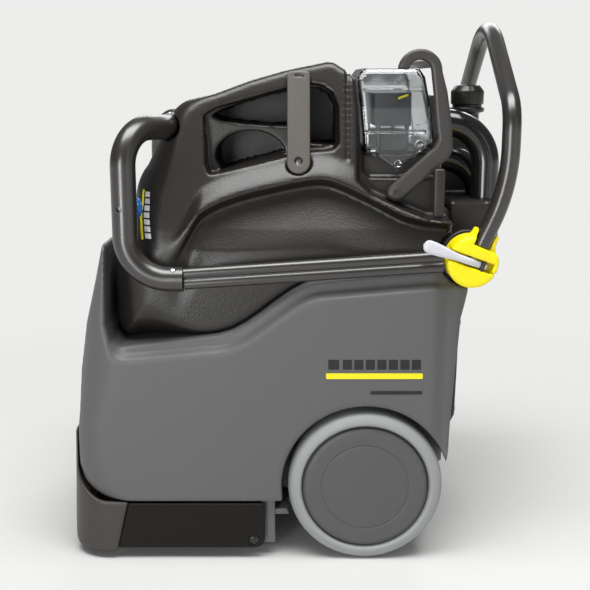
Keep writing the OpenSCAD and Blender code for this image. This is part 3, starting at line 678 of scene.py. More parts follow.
def cover_field(x, y, z):
    """Dark front cover that wraps the brush head, with a wide tongue up the front."""
    outline = ([(-317, 46)] + arc(-305, HEAD_FLOOR + 12, 12, 180, 270, 5) + [(-249, HEAD_FLOOR), (-231, 87)]
               + arc(-258, 136, 48.6, 262, 190, 8) + [(-306.8, 182), (-311.5, 182), (-314, 110)])
    side = outline_distance(outline, x, z)
    front = np.interp(z, [12, 50, 182], [-318, -317, -312])
    plan = plan_distance(x, y, front, 20, BODY_HALF - 0.2, 59, 4)
    shape = soft_max(side, plan, 3)
    inner = np.maximum(plan_distance(x, y, front + 7, 20, BODY_HALF - 7.5, 53, 3), z - 96)
    shape = cut(shape, inner, 1.5)
    shape = cut(shape, brush_room(x, y, z), 1.5)
    tongue = outline_distance([(-307, 181), (-311, 181), (-305.5, 262), (-297, 328), (-293.4, 328),
                               (-301.4, 262)], x, z)
    tongue = soft_max(tongue, -y - 132 + 0.1 * np.maximum(z - 200, 0), 3)
    return soft_min(shape, tongue, 3)


def make_front_cover():
    low = node_box("front_cover")[0]
    solid("front_cover_shell", (low[0] - 2, -206, HEAD_FLOOR - 2), (-226, 206, 332), 2.0, cover_field,
          "brown_cover", replaces=("front_cover",))


def make_side_plates():
    """Thin plates beside the brush head, each with a turned lip and a screw hole."""
    def plate(x, y, z):
        outline = [(-231, 85), (-247, 17)] + arc(-50, 31, 14, 270, 360, 8) + [(-36, 85)]
        shape = soft_max(outline_distance(outline, x, z), np.abs(y + 200) - 2, 1.2)
        lip = np.maximum(np.maximum(block(x, -229, -38), block(y, -203.6, -196.4)), block(z, 82, 85))
        shape = soft_min(shape, lip, 1.5)
        return cut(shape, np.hypot(x + 52, z - 29) - 7, 0.8)
    low, high = node_box("side_plates")
    left = solid("side_plate_left", (low[0], -204, low[2]), (high[0], -196, high[2]), 1.6, plate,
                 "dark_moulding", replaces=("side_plates",), mirrored=False, material="plate_black")
    mirrored_copy(left, "side_plate_right")


def make_rear_cover():
    """Service cover on the back with vent slots, a round hole and round corners."""
    def cover(x, y, z):
        outline = [(226, 182), (231, 182), (239, 200), (241, 300), (244, 350), (238, 350), (234, 290)]
        shape = soft_max(outline_distance(outline, x, z), np.abs(y) - 149, 4)
        corner = np.hypot(np.maximum(np.abs(y) - 134, 0), np.maximum(np.abs(z - 266) - 68, 0)) - 15
        shape = soft_max(shape, corner, 2)
        for k in range(6):
            slit = np.hypot(np.maximum(np.abs(y + 60) - 38, 0), z - 228 - 13 * k) - 3
            shape = cut(shape, slit, 1)
        return cut(shape, np.hypot(y - 60, z - 230) - 16, 1)
    solid("rear_cover_panel", (226, -150, 180), (246, 150, 352), 2.0, cover, "dark_moulding",
          replaces=("rear_cover",), mirrored=False)


# ---------------- recovery tank

RIDGE = [(-152, 436), (-145, 462), (-135, 488), (-106, 507), (-62, 522), (-3, 535), (30, 541), (48, 542),
         (66, 537), (96, 523), (124, 510), (144, 498), (170, 488), (190, 485), (230, 482)]
RECESS = [(-120, 628), (-117, 560), (-112, 548), (-104, 549), (20, 578), (60, 581), (68, 590), (67, 640),
          (60, 658), (46, 668), (26, 672), (-20, 661), (-60, 650), (-104, 638)]
UPPER_POCKET = [(-110, 627), (-96, 620), (-60, 615), (-14, 612), (6, 612), (6, 662), (-14, 659), (-60, 647),
                (-98, 634)]
REAR_POCKET = [(22, 592), (30, 588), (64, 586), (64, 640), (56, 656), (42, 664), (22, 666)]


def lower_pocket():
    """Outline of the rounded pocket: a straight slanted bottom under a half oval."""
    angles = [math.radians(a) for a in range(10, 200, 12)]
    return [(-98, 551), (-10, 574)] + [(-56 + 50 * math.cos(a), 570 + 36 * math.sin(a)) for a in angles]


def tank_field(x, y, z):
    """Black recovery tank: flared ridge over an undercut, grip recess, shoulder, neck and hose tower."""
    bottom = [(px, float(seam(px)) + 0.8) for px in range(-220, 201, 20)]
    outline = ([(-232, 314)] + bottom
               + [(226, 431), (226, 496), (TOWER_X, 502), (TOWER_X, 654), (206, 654), (206, 574), (101, 574),
                  (92, 676), (80, 689)] + arc(54, 670, 31, 75, 105, 6) + [(-8, 689), (-57, 675), (-106, 657)]
               + arc(-127, 601, 50, 100, 150, 8) + arc(-151, 512, 70, 140, 180, 8)
               + [(-226, 498), (-226, 466), (-232, 452), (-251, 424), (-252, 345), (-244, 322)])
    side = outline_distance(outline, x, z)
    ridge_x, ridge_z = zip(*RIDGE)
    drop = sum(np.interp(x + d, ridge_x, ridge_z) for d in (-14, -7, 0, 7, 14)) / 5 - z
    upper = np.interp(z, [300, 446, 474, 540, 610, 680, 704], [181, 181, 174, 152.8, 131.4, 110, 102.6])
    along = smooth_step(-176, -122, x)
    rear = 1 - smooth_step(50, 110, x)
    flare = (5 + 7 * rear) * smooth_step(-38, -3, drop) * (1 - smooth_step(-3, 8, drop)) * along
    hollow = 13 * smooth_step(-3, 12, drop) * (1 - smooth_step(20, 100, drop)) * along
    half = np.minimum(upper + flare, TANK_HALF) - hollow
    k = 10 + 60 * (1 - smooth_step(-215, -110, x))
    shape = soft_max(side, (-y - half) * 0.95, k)
    front = np.interp(z, [424, 452], [-254, -234])
    plan = plan_distance(x, y, front, 230, TANK_HALF, 66, 18)
    shape = soft_max(shape, plan, 4)
    recess = np.maximum(outline_distance(RECESS, x, z), y + 106)
    shape = cut(shape, recess, 4)
    for pocket in (lower_pocket(), UPPER_POCKET, REAR_POCKET):
        shape = cut(shape, np.maximum(outline_distance(pocket, x, z), y + 16), 3)
    u, v, w = strap_axes(x, y, z)
    strap_seat = np.hypot(u, np.minimum(v + 20, 0)) - 18
    shape = cut(shape, soft_max(strap_seat, -0.2 - w, 2), 2)
    shoulder = outline_distance([(94, 740), (94, 540), (112, 521), (160, 500), (192, 488), (260, 482),
                                 (260, 740)], x, z)
    shape = cut(shape, soft_max(shoulder, y + 124, 12), 6)
    neck = outline_distance([(102, 740), (102, 552), (112, 541), (260, 541), (260, 740)], x, z)
    shape = cut(shape, soft_max(neck, y + 113, 8), 4)
    groove = np.abs(x - 80) - 2.5
    shape = cut(shape, np.maximum(np.maximum(groove, 566 - z), -2.2 - shape), 1.5)
    shape = cut(shape, joint_seat(x, y, z), 3)
    shape = cut(shape, rod_distance(x, y, z, CROSS_X, LOOP_TOP, LOOP_R + 2.5, -150, 0), 2)
    return cut(shape, np.maximum(np.hypot(x - 147, y) - 27, 560 - z), 1.5)


def make_recovery_tank():
    solid("recovery_tank_shell", (TANK_LOW[0] - 2, -182, 310), (230, 182, 704), 2.6, tank_field,
          "black_shell", replaces=("recovery_tank",))


# ---------------- frame tubes

TURN = math.radians(35)
TOP_BEND = 50.0
CROSS_BEND = 60.0
CROSS_STEP = 16.0
CROSS_X = LOOP_X + (TOP_BEND + CROSS_STEP) * math.sin(TURN) + CROSS_BEND * (1 - math.cos(TURN))


def front_loop_path():
    """Up from one rail, across the front of the tank and down to the other rail."""
    reach = TOP_BEND + CROSS_STEP + CROSS_BEND * math.tan(TURN / 2)
    corner = (LOOP_X + reach * math.sin(TURN), -RAIL_Y + reach * math.cos(TURN))
    left = [(RAIL_X, -RAIL_Y, LOOP_Z), (LOOP_X, -RAIL_Y, LOOP_Z), (LOOP_X, -RAIL_Y, LOOP_TOP),
            (*corner, LOOP_TOP)]
    right = [(px, -py, pz) for px, py, pz in reversed(left)]
    bends = [58, TOP_BEND, CROSS_BEND]
    return rounded_path(left + right, bends + bends[::-1])


def tube_piece(name, path, r, node, body=ROOT, sides=40):
    verts, faces = sweep(path, circle_profile(r, sides), first=(0, 0, 1))
    return tidy_mesh(piece(name, verts, faces, "tube_black", body, (node,)))


def dimple(obj, spot, axis, r):
    """A drilled hole in a tube."""
    data = bpy.data.meshes.new("drill")
    work = bmesh.new()
    bmesh.ops.create_cone(work, cap_ends=True, segments=24, radius1=r * MM, radius2=r * MM, depth=16 * MM)
    turn = Vector((0, 0, 1)).rotation_difference(Vector(axis)).to_matrix().to_4x4()
    bmesh.ops.transform(work, matrix=Matrix.Translation(Vector(spot) * MM) @ turn, verts=work.verts)
    work.to_mesh(data)
    work.free()
    drill = link_new("drill", data)
    mod = obj.modifiers.new("hole", "BOOLEAN")
    mod.operation = "DIFFERENCE"
    mod.solver = "EXACT"
    mod.object = drill
    apply_modifiers(obj)
    bpy.data.objects.remove(drill)
    soften(obj.data)


def make_front_loop():
    loop = tube_piece("front_loop_tube", front_loop_path(), LOOP_R, "front_loop")
    for side in (-1, 1):
        dimple(loop, (LOOP_X - 4, side * (RAIL_Y + LOOP_R), 508), (0, 1, 0), 4)


def make_side_rails():
    """Straight rails whose section is two lobes with a narrow waist."""
    along = Vector((math.cos(RAIL_LEAN), 0, math.sin(RAIL_LEAN)))
    lobe = 8.0
    rise = 7.0
    waist = 5.0
    meet = math.degrees(math.acos(waist / lobe))
    profile = arc(0, rise, lobe, -meet, 180 + meet, 18) + arc(0, -rise, lobe, 180 - meet, 360 + meet, 18)
    for side, word in SIDES:
        start = Vector((RAIL_X, side * RAIL_Y, LOOP_Z))
        path = [start + along * t for t in np.linspace(1.3, 353, 60)]
        verts, faces = sweep(path, profile)
        tidy_mesh(piece("side_rail_" + word, verts, faces, "tube_black",
                        replaces=("side_rails",) if side < 0 else ()))


def leg_point(a):
    """Point of the handle leg's long bend where it leans by an angle."""
    return HANDLE_X - LEG_BEND * (1 - math.cos(a)), LEG_TOP - LEG_BEND * math.sin(a)


def handle_path():
    """Leg out of the joint, long bend, upright, shoulder, slanted run and apex."""
    shoulder, shoulder_z = 50.0, 612.0
    turn = math.radians(57)
    apex = 120.0
    foot_x, foot_z = leg_point(LEG_LEAN)
    foot = Vector((foot_x, -RAIL_Y, foot_z))
    pts = [foot - Vector((math.sin(LEG_LEAN), 0, math.cos(LEG_LEAN))) * 34, foot]
    for k in range(1, 31):
        px, pz = leg_point(LEG_LEAN * (1 - k / 30))
        pts.append(Vector((px, -RAIL_Y, pz)))
    for a in np.linspace(0, turn, 25):
        pts.append(Vector((HANDLE_X, -RAIL_Y + shoulder * (1 - math.cos(a)),
                           shoulder_z + shoulder * math.sin(a))))
    for a in np.linspace(math.pi / 2 - turn, 0, 31):
        pts.append(Vector((HANDLE_X, -apex * math.sin(a), HANDLE_TOP - apex + apex * math.cos(a))))
    return pts + [Vector((p.x, -p.y, p.z)) for p in reversed(pts[:-1])]


def make_handle():
    tube_piece("handle_tube", handle_path(), HANDLE_R, "handle_loop", "handle", sides=36)


# ---------------- handle joint

LEVER_TILT = math.radians(20)
LEVER_PIVOT = -14.0


def lever_place(u, v, w):
    """From the lever's own axes, u towards the closed tip, v across, w outwards, to the machine's."""
    s, c = math.sin(LEVER_TILT), math.cos(LEVER_TILT)
    return JOINT[0] - c * u + s * v, JOINT_OUT + 10 - w, JOINT[2] + s * u + c * v


def joint_field(x, y, z):
    """Yellow clamp: a drum with a rounded face, a split, a lever slot and a socket for the handle leg."""
    s, c = math.sin(LEG_LEAN), math.cos(LEG_LEAN)
    radial = np.hypot(x - JOINT[0], z - JOINT[2])
    drum = soft_max(radial - JOINT_R, block(y, JOINT_OUT + 0.2, JOINT_IN), 6)
    foot_x, foot_z = leg_point(LEG_LEAN)
    along = (x - foot_x) * s + (z - foot_z) * c
    across = (x - foot_x) * c - (z - foot_z) * s
    tube = np.hypot(across, y + RAIL_Y)
    socket = soft_max(tube - 19, block(along, -40, -14), 3)
    shape = soft_min(drum, socket, 7)
    shape = cut(shape, soft_max(tube - 13.5, -34 - along, 2), 2)
    mouth = np.maximum(np.maximum(-across - 13, y + RAIL_Y + 2), -35 - along)
    shape = cut(shape, mouth, 3)
    s, c = math.sin(LEVER_TILT), math.cos(LEVER_TILT)
    u = (z - JOINT[2]) * s - (x - JOINT[0]) * c
    v = (x - JOINT[0]) * s + (z - JOINT[2]) * c
    w = JOINT_OUT + 10 - y
    slot = np.maximum(np.maximum(block(u, -28, 44), np.abs(v) - 7), -11 - w)
    shape = cut(shape, slot, 2.5)
    split = soft_max(np.abs(v - 0.22 * (u + 8)) - 1.1, np.maximum(u + 14, -60 - u), 0.5)
    return cut(shape, np.maximum(split, -2 - w), 0.8)


def make_joints():
    low, high = node_box("joint_housing_left")
    left = solid("joint_clamp_left", low, high, 1.1, joint_field, "yellow_plastic", "handle",
                 ("joint_housing_left",), mirrored=False)
    mirrored_copy(left, "joint_clamp_right", "handle", ("joint_housing_right",))


def make_levers():
    """Curved cam lever that is thick at its pin, waisted, and widens to a rounded tip."""
    length = 71.0
    power = 0.62
    rings = []
    steps = 44
    sides = 24
    for k in range(steps + 1):
        t = k / steps
        u = LEVER_PIVOT - 7 + (length - LEVER_PIVOT + 7) * t
        edge = min(1.0, (1 - t) / 0.09) if t > 0.91 else min(1.0, t / 0.05 + 0.25)
        nose = math.sqrt(max(0.0, 1 - (1 - edge) ** 2))
        width = (4.8 + 4.0 * smooth_step(0.42, 0.86, t)) * max(nose, 0.08)
        thick = (5.6 - 2.3 * smooth_step(0.08, 0.55, t)) * max(nose, 0.2)
        rise = 5.9 + 2.2 * math.sin(math.pi * t) - 7 * (1 - smooth_step(0.04, 0.34, t))
        for s in range(sides):
            a = 2 * math.pi * s / sides
            ca, sa = math.cos(a), math.sin(a)
            rings.append(lever_place(u, width * math.copysign(abs(ca) ** power, ca),
                                     rise + thick * math.copysign(abs(sa) ** power, sa)))
    faces = []
    for k in range(steps):
        for s in range(sides):
            a, b = k * sides + s, k * sides + (s + 1) % sides
            faces.append((a, b, b + sides, a + sides))
    faces.append(tuple(range(sides - 1, -1, -1)))
    faces.append(tuple(range(steps * sides, (steps + 1) * sides)))
    left = tidy_mesh(piece("cam_lever_grip_left", rings, faces, "lever_grey", "lever_left",
                           ("cam_lever_left",)))
    mirrored_copy(left, "cam_lever_grip_right", "lever_right", ("cam_lever_right",))


# ---------------- wheels

def fillet_profile(corners, n=6):
    """Corner points with a radius each, turned into a rounded polyline."""
    out = []
    for i, (r, d, f) in enumerate(corners):
        if f <= 0 or i in (0, len(corners) - 1):
            out.append((r, d))
            continue
        here = Vector((r, d))
        a = Vector(corners[i - 1][:2]) - here
        b = Vector(corners[i + 1][:2]) - here
        reach = min(f, a.length * 0.49, b.length * 0.49)
        p, q = here + a.normalized() * reach, here + b.normalized() * reach
        for k in range(n + 1):
            t = k / n
            out.append(tuple((1 - t) ** 2 * p + 2 * t * (1 - t) * here + t * t * q))
    return out


def wheel_part(name, corners, side, slot, node, body):
    """A turned ring round the axle; distances are measured outwards from the tyre's inner face."""
    profile = [(r, side * d) for r, d in fillet_profile(corners)]
    centre = (WHEEL[0], side * abs(TYRE_IN), WHEEL[2])
    verts, faces = lathe(profile, centre, n=160, closed=True)
    tidy_mesh(piece(name, verts, faces, slot, body, (node,)))


def make_wheels():
    width = abs(TYRE_OUT - TYRE_IN)
    face = width - 1.2
    bead = RIM_R
    for side, word in SIDES:
        body = "wheel_" + word
        wheel_part("tyre_rubber_" + word,
                   [(bead, 2, 0), (bead + 5, 0, 2), (WHEEL_R - 5, 0, 5), (WHEEL_R, 6, 3),
                    (WHEEL_R, width - 13, 6), (WHEEL_R - 4, width - 3.5, 7), (WHEEL_R - 12, width, 6),
                    (bead + 3.2, width, 2.4), (bead + 1.0, width - 3, 2), (bead, width - 9, 0)],
                   side, "tyre_grey", "tyre_" + word, body)
        wheel_part("rim_shell_" + word,
                   [(12, 0, 0), (bead - 1, 0, 3), (bead - 0.6, width - 8.5, 0), (bead - 5, width - 8.5, 1),
                    (bead - 7, 9, 4), (26, 9, 4), (24, width - 9, 2), (12, width - 9, 0)],
                   side, "hub_grey", "rim_" + word, body)
        wheel_part("hub_disc_" + word,
                   [(0, width - 7.5, 0), (bead - 2.4, width - 7.5, 1), (bead - 2.2, face - 2.6, 3),
                    (bead - 7, face, 4), (63.5, face, 1.0), (62.6, face - 0.8, 0.6), (61.2, face - 0.8, 0.6),
                    (60.3, face, 1.0), (0, face, 0)],
                   side, "hub_grey", "hub_cover_" + word, body)


# ---------------- dome and bail

def dome_walls(x, y, z, t):
    """Distances to the dome's outline and to its left cheek, moved inwards by t."""
    outline = [(94 + t, 680 - t), (103 + t, 692 - t), (182 - t, 692 - t), (190 - t, 680 - t), (203 - t, 592),
               (152, 549 + 1.4 * t), (103.5 + t, 584)]
    side = outline_distance(outline, x, z)
    cheek = (-y - np.interp(z, [540, 640, 692], [120, 120, 96]) + t) * 0.94
    return side, cheek


def dome_field(x, y, z):
    """Clear dome, open below, with three bosses and two ribs on each cheek."""
    side, cheek = dome_walls(x, y, z, 0)
    outer = soft_max(side, cheek, 5)
    side, cheek = dome_walls(x, y, z, 3)
    inner = soft_max(side, cheek, 4)
    shape = cut(outer, inner, 0.8)
    for px, pz in ((118, 577), (184, 585), (152, 561)):
        boss = np.maximum(np.hypot(x - px, z - pz) - 4.5, block(y, -119, -110))
        shape = soft_min(shape, boss, 2)
    for zr in (604, 662):
        rib = np.maximum(np.maximum(block(z, zr - 1, zr + 1), block(y, -119, -109)), block(x, 106, 190))
        shape = soft_min(shape, np.maximum(rib, outer), 1)
    opening = np.maximum(np.maximum(block(x, 90, 210), -y - 113.5), z - 578)
    return cut(shape, opening, 0.8)


def make_dome():
    dome = solid("dome_shell", (94, -120, 548), (204, 120, 692), 1.5, dome_field, "clear",
                 replaces=("inspection_dome",))
    dome.data.shade_smooth()
    refined("dome_seal", "seal_black", width=0.8)
    refined("intake_deflector", "dark_moulding", width=1.2, material="tint_plate")
    refined("float_cage", "white_plastic", width=0.6)
    for side, word in SIDES:
        verts, faces = sweep([(152, side * 104.6, 650), (166, side * 104.6, 655)], box_profile(1.2, 3.4, 0.5))
        mark = piece("deflector_mark_" + word, verts, faces, "badge", material="badge_yellow")
        bevel(mark, 0.2, 1)


PIVOT = (148.0, 521.0)
ARCH = (178.0, 687.0)


def bail_field(x, y, z):
    """Cast bail: flat legs with a kink and rounded edges, joined by a rod; the left one ends in an arch."""
    foot = arc(*PIVOT, 13, 130, 305, 8) + [(221, 569), (227, 581), (224, 619), (217, 660)]
    inner = [(196.6, 660), (199, 635), (204, 596), (199, 584)]
    hooked = foot + arc(*ARCH, 31.4, 0, 175, 16) + arc(*ARCH, 15, 175, 0, 12) + inner
    rod_x, rod_z = ARCH[0] + 20, ARCH[1] + 12
    plain = foot + arc(rod_x, rod_z, 10, 0, 180, 8) + inner
    left = soft_max(outline_distance(hooked, x, z) + 0.6, np.abs(y + 133) - 7, 5)
    right = soft_max(outline_distance(plain, x, z) + 0.6, np.abs(y - 134) - 6, 5)
    rod = rod_distance(x, y, z, rod_x, rod_z, 6.5, -134, 134)
    return soft_min(soft_min(left, right, 1), rod, 3)


def make_bail():
    solid("bail_frame", (134, -140, 508), (228, 140, 720), 1.8, bail_field, "dark_moulding", "bail",
          ("dome_bail",), mirrored=False, material="bail_grey")
    profile = fillet_profile([(0, 0, 0), (8.4, 0, 1), (8.4, 1.3, 1), (3.2, 2.0, 0.6), (3.2, 0.8, 0.4),
                              (0, 0.8, 0)])
    for side, word in SIDES:
        verts, faces = lathe([(r, side * d) for r, d in profile], (PIVOT[0], side * 139.6, PIVOT[1]), n=40)
        tidy_mesh(piece("bail_pin_head_" + word, verts, faces, "dark_moulding", material="bail_grey"))
    refined("bail_pins", "dark_moulding", width=0.6, material="bail_grey")
    refined("rear_posts", "dark_moulding", width=3.0, segments=4)


# ---------------- rear housing, hoses and defoamer stack

HOSES = {"upper": (-60.0, 615.0, 60.0), "lower": (-12.0, 561.0, 55.0)}
HOUSING_TOP = 506.0
COWL_Y, COWL_HALF, COWL_TOP = 62.0, 42.0, node_box("vacuum_housing")[1][2]


def housing_field(x, y, z):
    """Motor housing with a raised cowl under the filler neck, hose seats and the switch windows."""
    left, left_cowl = -np.abs(y), -np.abs(y - COWL_Y)
    low = soft_max(plan_distance(x, left, 228, 304, 104, 6, 24), block(z, 436, HOUSING_TOP), 8)
    cowl = plan_distance(x, left_cowl, 228, 304, COWL_HALF, 6, 20)
    outer = soft_min(low, soft_max(cowl, block(z, 440, COWL_TOP), 10), 5)
    low = np.maximum(plan_distance(x, left, 232, 300, 100, 3, 20), z - HOUSING_TOP + 4)
    cowl = plan_distance(x, left_cowl, 232, 300, COWL_HALF - 4, 3, 16)
    inner = np.minimum(low, np.maximum(cowl, z - COWL_TOP + 4))
    shape = cut(outer, inner, 1)
    for hy, _, _ in HOSES.values():
        shape = cut(shape, np.maximum(np.hypot(x - HOSE_X, y - hy) - 16, 480 - z), 1)
    for ry in (46, 76):
        shape = cut(shape, np.maximum(np.maximum(np.abs(y - ry) - 10, np.abs(z - 476) - 14), 292 - x), 0.8)
    return shape


def make_housing():
    solid("vacuum_housing_shell", (228, -104, 436), (304, 104, COWL_TOP), 2.0, housing_field, "dark_moulding",
          replaces=("vacuum_housing",), mirrored=False)


def hose_path(y, z, bend):
    """Out of the tower, down through a quarter bend and into the housing."""
    path = [Vector((TOWER_X, y, z))]
    for k in range(31):
        a = math.pi / 2 * k / 30
        path.append(Vector((HOSE_X - bend + bend * math.sin(a), y, z - bend + bend * math.cos(a))))
    if z - bend > HOUSING_TOP + 1:
        path.append(Vector((HOSE_X, y, HOUSING_TOP)))
    return path


def make_hoses():
    """Moulded elbows, each with a band clamp at the tower and two tightening screws."""
    band = fillet_profile([(HOSE_R - 0.5, 3.5, 0), (HOSE_R + 1.6, 3.5, 0.8), (HOSE_R + 1.9, 5, 0.8),
                           (HOSE_R + 1.9, 11.5, 0.8), (HOSE_R + 1.6, 13, 0.8), (HOSE_R - 0.5, 13, 0)])
    head = fillet_profile([(0, -5, 0), (2.7, -5, 0.7), (2.7, 3.4, 0.4), (3.7, 3.4, 0.5), (3.7, 5, 0.7),
                           (0, 5, 0)], 3)
    for word, (y, z, bend) in HOSES.items():
        verts, faces = sweep(hose_path(y, z, bend), circle_profile(HOSE_R, 48))
        elbow = tidy_mesh(piece("hose_elbow_" + word, verts, faces, "hose_black", replaces=("hose_" + word,)))
        elbow.data.shade_smooth()
        verts, faces = lathe(band, (TOWER_X, y, z), (1, 0, 0), (0, 1, 0), n=72, closed=True)
        tidy_mesh(piece("clamp_band_" + word, verts, faces, "clamp_clear",
                        replaces=("hose_clamps",) if word == "upper" else ()))
        for place, spin in (("far", -55), ("near", 28)):
            a = math.radians(90 + spin)
            out = Vector((0, math.cos(a), math.sin(a)))
            centre = Vector((TOWER_X + 8.2, y, z)) + out * (HOSE_R + 3.4)
            verts, faces = lathe(head, centre, (0, -out.z, out.y), n=20)
            tidy_mesh(piece(f"clamp_screw_{word}_{place}", verts, faces, "clamp_clear",
                            material="white_plastic"))


def make_stack():
    """Defoamer filler neck: stem, flange, waist and a ribbed cap."""
    low, high = node_box("defoamer_stack")
    profile = fillet_profile([(0, 0, 0), (19, 0, 0.5), (19, 31, 3), (26.9, 33.5, 1.5), (26.9, 39.5, 1.2),
                              (23, 40.2, 0.8), (23, 44, 0.5), (25.6, 45.4, 1), (25.6, 65, 2.5), (18, 74.8, 3),
                              (9, 73.4, 1.5), (0, 73.4, 0)])
    verts, faces = lathe(profile, ((low[0] + high[0]) / 2, (low[1] + high[1]) / 2, low[2]), (0, 0, 1),
                         ribs=lambda a, r, d: r + 0.35 * math.cos(24 * a) * (47 < d < 64))
    tidy_mesh(piece("defoamer_stack_turned", verts, faces, "black_gloss", replaces=("defoamer_stack",)))


# ---------------- straps, cap, badges, small parts

STRAP_LEAN = math.radians(17)
STRAP_AT = (12.0, -140.5, 582.0)


def strap_axes(x, y, z):
    """Place in the strap's own axes: u along the machine, v up the slope, w outwards."""
    s, c = math.sin(STRAP_LEAN), math.cos(STRAP_LEAN)
    across, up = y - STRAP_AT[1], z - STRAP_AT[2]
    return x - STRAP_AT[0], across * s + up * c, up * s - across * c


def strap_field(x, y, z):
    """Flat grip with a round screwed end below and a slot near its top."""
    u, v, w = strap_axes(x, y, z)
    body = np.maximum(np.maximum(np.abs(u) - 16, v - 109.5), -20 - v)
    head = np.hypot(u, v + 20) - 16
    outline = soft_min(body, head, 1)
    top_corner = np.hypot(np.maximum(np.abs(u) - 9, 0), np.maximum(v - 102, 0)) - 7.5
    outline = soft_max(outline, top_corner, 1)
    shape = soft_max(outline, block(w, 0.2, 7.8), 2.6)
    shape = cut(shape, np.maximum(np.hypot(u, v + 18) - 5.6, 1 - w), 1.2)
    slot = np.hypot(np.maximum(np.abs(u - 1) - 4.5, 0), v - 103 + 0.04 * u * u) - 1.9
    return cut(shape, np.maximum(slot, 4.6 - w), 0.8)


def make_straps():
    low, high = node_box("tank_strap_left")
    left = solid("strap_left", low, high, 1.2, strap_field, "strap_grey", replaces=("tank_strap_left",),
                 mirrored=False)
    mirrored_copy(left, "strap_right", ROOT, ("tank_strap_right",))


def make_cap():
    """Blue knob with a domed face, gripping scallops and a finger bar."""
    c, s = math.cos(math.radians(50)), math.sin(math.radians(50))
    out, side, up = Vector((-c, -s, 0)), Vector((s, -c, 0)), Vector((0, 0, 1))
    origin = Vector((-211.5, -167.5, 505))
    profile = fillet_profile([(0, 1.2, 0), (16, 1.2, 0.6), (16, 4.6, 1.2), (14.6, 5.4, 0.8), (12.4, 8.6, 1.6),
                              (0, 9.2, 0)])
    verts, faces = lathe(profile, origin, out, side, n=120,
                         ribs=lambda a, r, d: r * (1 - 0.05 * max(0.0, math.cos(12 * a)) * (r > 13)))
    tidy_mesh(piece("blue_knob", verts, faces, "blue_plastic", "cap", ("blue_cap",)))
    path = [origin + out * 9.4 + up * t for t in np.linspace(-11.5, 11.5, 9)]
    verts, faces = sweep(path, box_profile(5.0, 4.4, 1.6), first=side)
    tidy_mesh(piece("blue_knob_bar", verts, faces, "blue_plastic", "cap"))


def plate_on_side(name, x0, x1, z0, z1, side, lift, material="badge"):
    """Thin film with rounded corners on the flat side of the body."""
    r = min(1.2, (z1 - z0) / 3)
    loop = [((x0 + x1) / 2 + a, (z0 + z1) / 2 + b) for a, b in box_profile(x1 - x0, z1 - z0, r)]
    y_in, y_out = side * (BODY_HALF - 0.6), side * (BODY_HALF + lift)
    n = len(loop)
    verts = [(a, y_in, b) for a, b in loop] + [(a, y_out, b) for a, b in loop]
    faces = [tuple(range(n)), tuple(range(2 * n - 1, n - 1, -1))]
    faces += [(k, n + k, n + (k + 1) % n, (k + 1) % n) for k in range(n)]
    tidy_mesh(piece(name, verts, faces, "badge", material=material))


def corner_point(turn, height, lift):
    """Outermost point of the tank at a height, in a direction turned from the front to the left."""
    a = math.radians(turn)
    direction = np.array([-math.cos(a), -math.sin(a)])
    start = np.array([-120.0, -80.0])
    reach = np.linspace(20, 200, 721)
    px = start[0] + direction[0] * reach
    py = start[1] + direction[1] * reach
    field = tank_field(px[:, None, None], py[:, None, None], np.full((1, 1, 1), float(height)))[:, 0, 0]
    last = int(np.nonzero(field < 0)[0].max())
    at = reach[last] + lift
    return (start[0] + direction[0] * at, start[1] + direction[1] * at, height)


def corner_strip(name, turn0, turn1, z0, z1, lift, material, nx=10, nz=24):
    """A film that follows the rounded front corner of the tank."""
    verts, faces = [], []
    for level in (lift, lift - 0.9):
        for i in range(nx + 1):
            for j in range(nz + 1):
                z = z0 + (z1 - z0) * j / nz
                turn = turn0 + (turn1 - turn0) * i / nx - 0.16 * (z - 500)
                verts.append(corner_point(turn, z, level))
    row = nz + 1
    half = (nx + 1) * row
    for i in range(nx):
        for j in range(nz):
            a = i * row + j
            faces.append((a, a + 1, a + row + 1, a + row))
            faces.append((a + half, a + half + row, a + half + row + 1, a + half + 1))
    rim = ([i * row for i in range(nx + 1)] + [nx * row + j for j in range(1, nz + 1)]
           + [i * row + nz for i in range(nx - 1, -1, -1)] + list(range(nz - 1, 0, -1)))
    for a, b in zip(rim, rim[1:] + rim[:1]):
        faces.append((a, b, b + half, a + half))
    return tidy_mesh(piece(name, verts, faces, "badge", material=material))


def make_badges():
    """Plain dark blocks and a yellow bar on each side, and a marked label on the left front corner."""
    for side, word in SIDES:
        plate_on_side("side_mark_tile_" + word, 53, 68, 284, 298, side, 0.5)
        for k in range(7):
            x0 = 73 + 15.9 * k
            plate_on_side(f"side_mark_{word}_{k}", x0, x0 + 12.6, 284, 298, side, 0.5)
        plate_on_side("side_bar_" + word, 50, 184, 270.5, 278.5, side, 0.6, "badge_yellow")
        plate_on_side("side_line_" + word, 112, 184, 248, 253, side, 0.4)
    obj = corner_strip("corner_label", 18, 49, 458, 552, 0.5, "badge", nx=16)
    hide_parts("badges")
    corner_strip("corner_bar", 37.6, 39.8, 460, 526, 0.9, "badge_yellow", nx=2)
    for k in range(7):
        z0 = 462 + 9.2 * k
        corner_strip(f"corner_mark_{k}", 41.8, 46.8, z0, z0 + 6.8, 0.9, "badge_white", nx=4, nz=3)


def screw(name, spot, out, r, replaces=(), material=None):
    """Pan-head screw."""
    out = Vector(out).normalized()
    head = [(0, 0), (r, 0), (r, 0.5), (r * 0.9, 1.0), (r * 0.62, 1.35), (r * 0.3, 1.5), (0, 1.5)]
    verts, faces = lathe(head, spot, out, out.orthogonal().normalized(), n=32)
    tidy_mesh(piece(name, verts, faces, "steel", replaces=replaces, material=material))


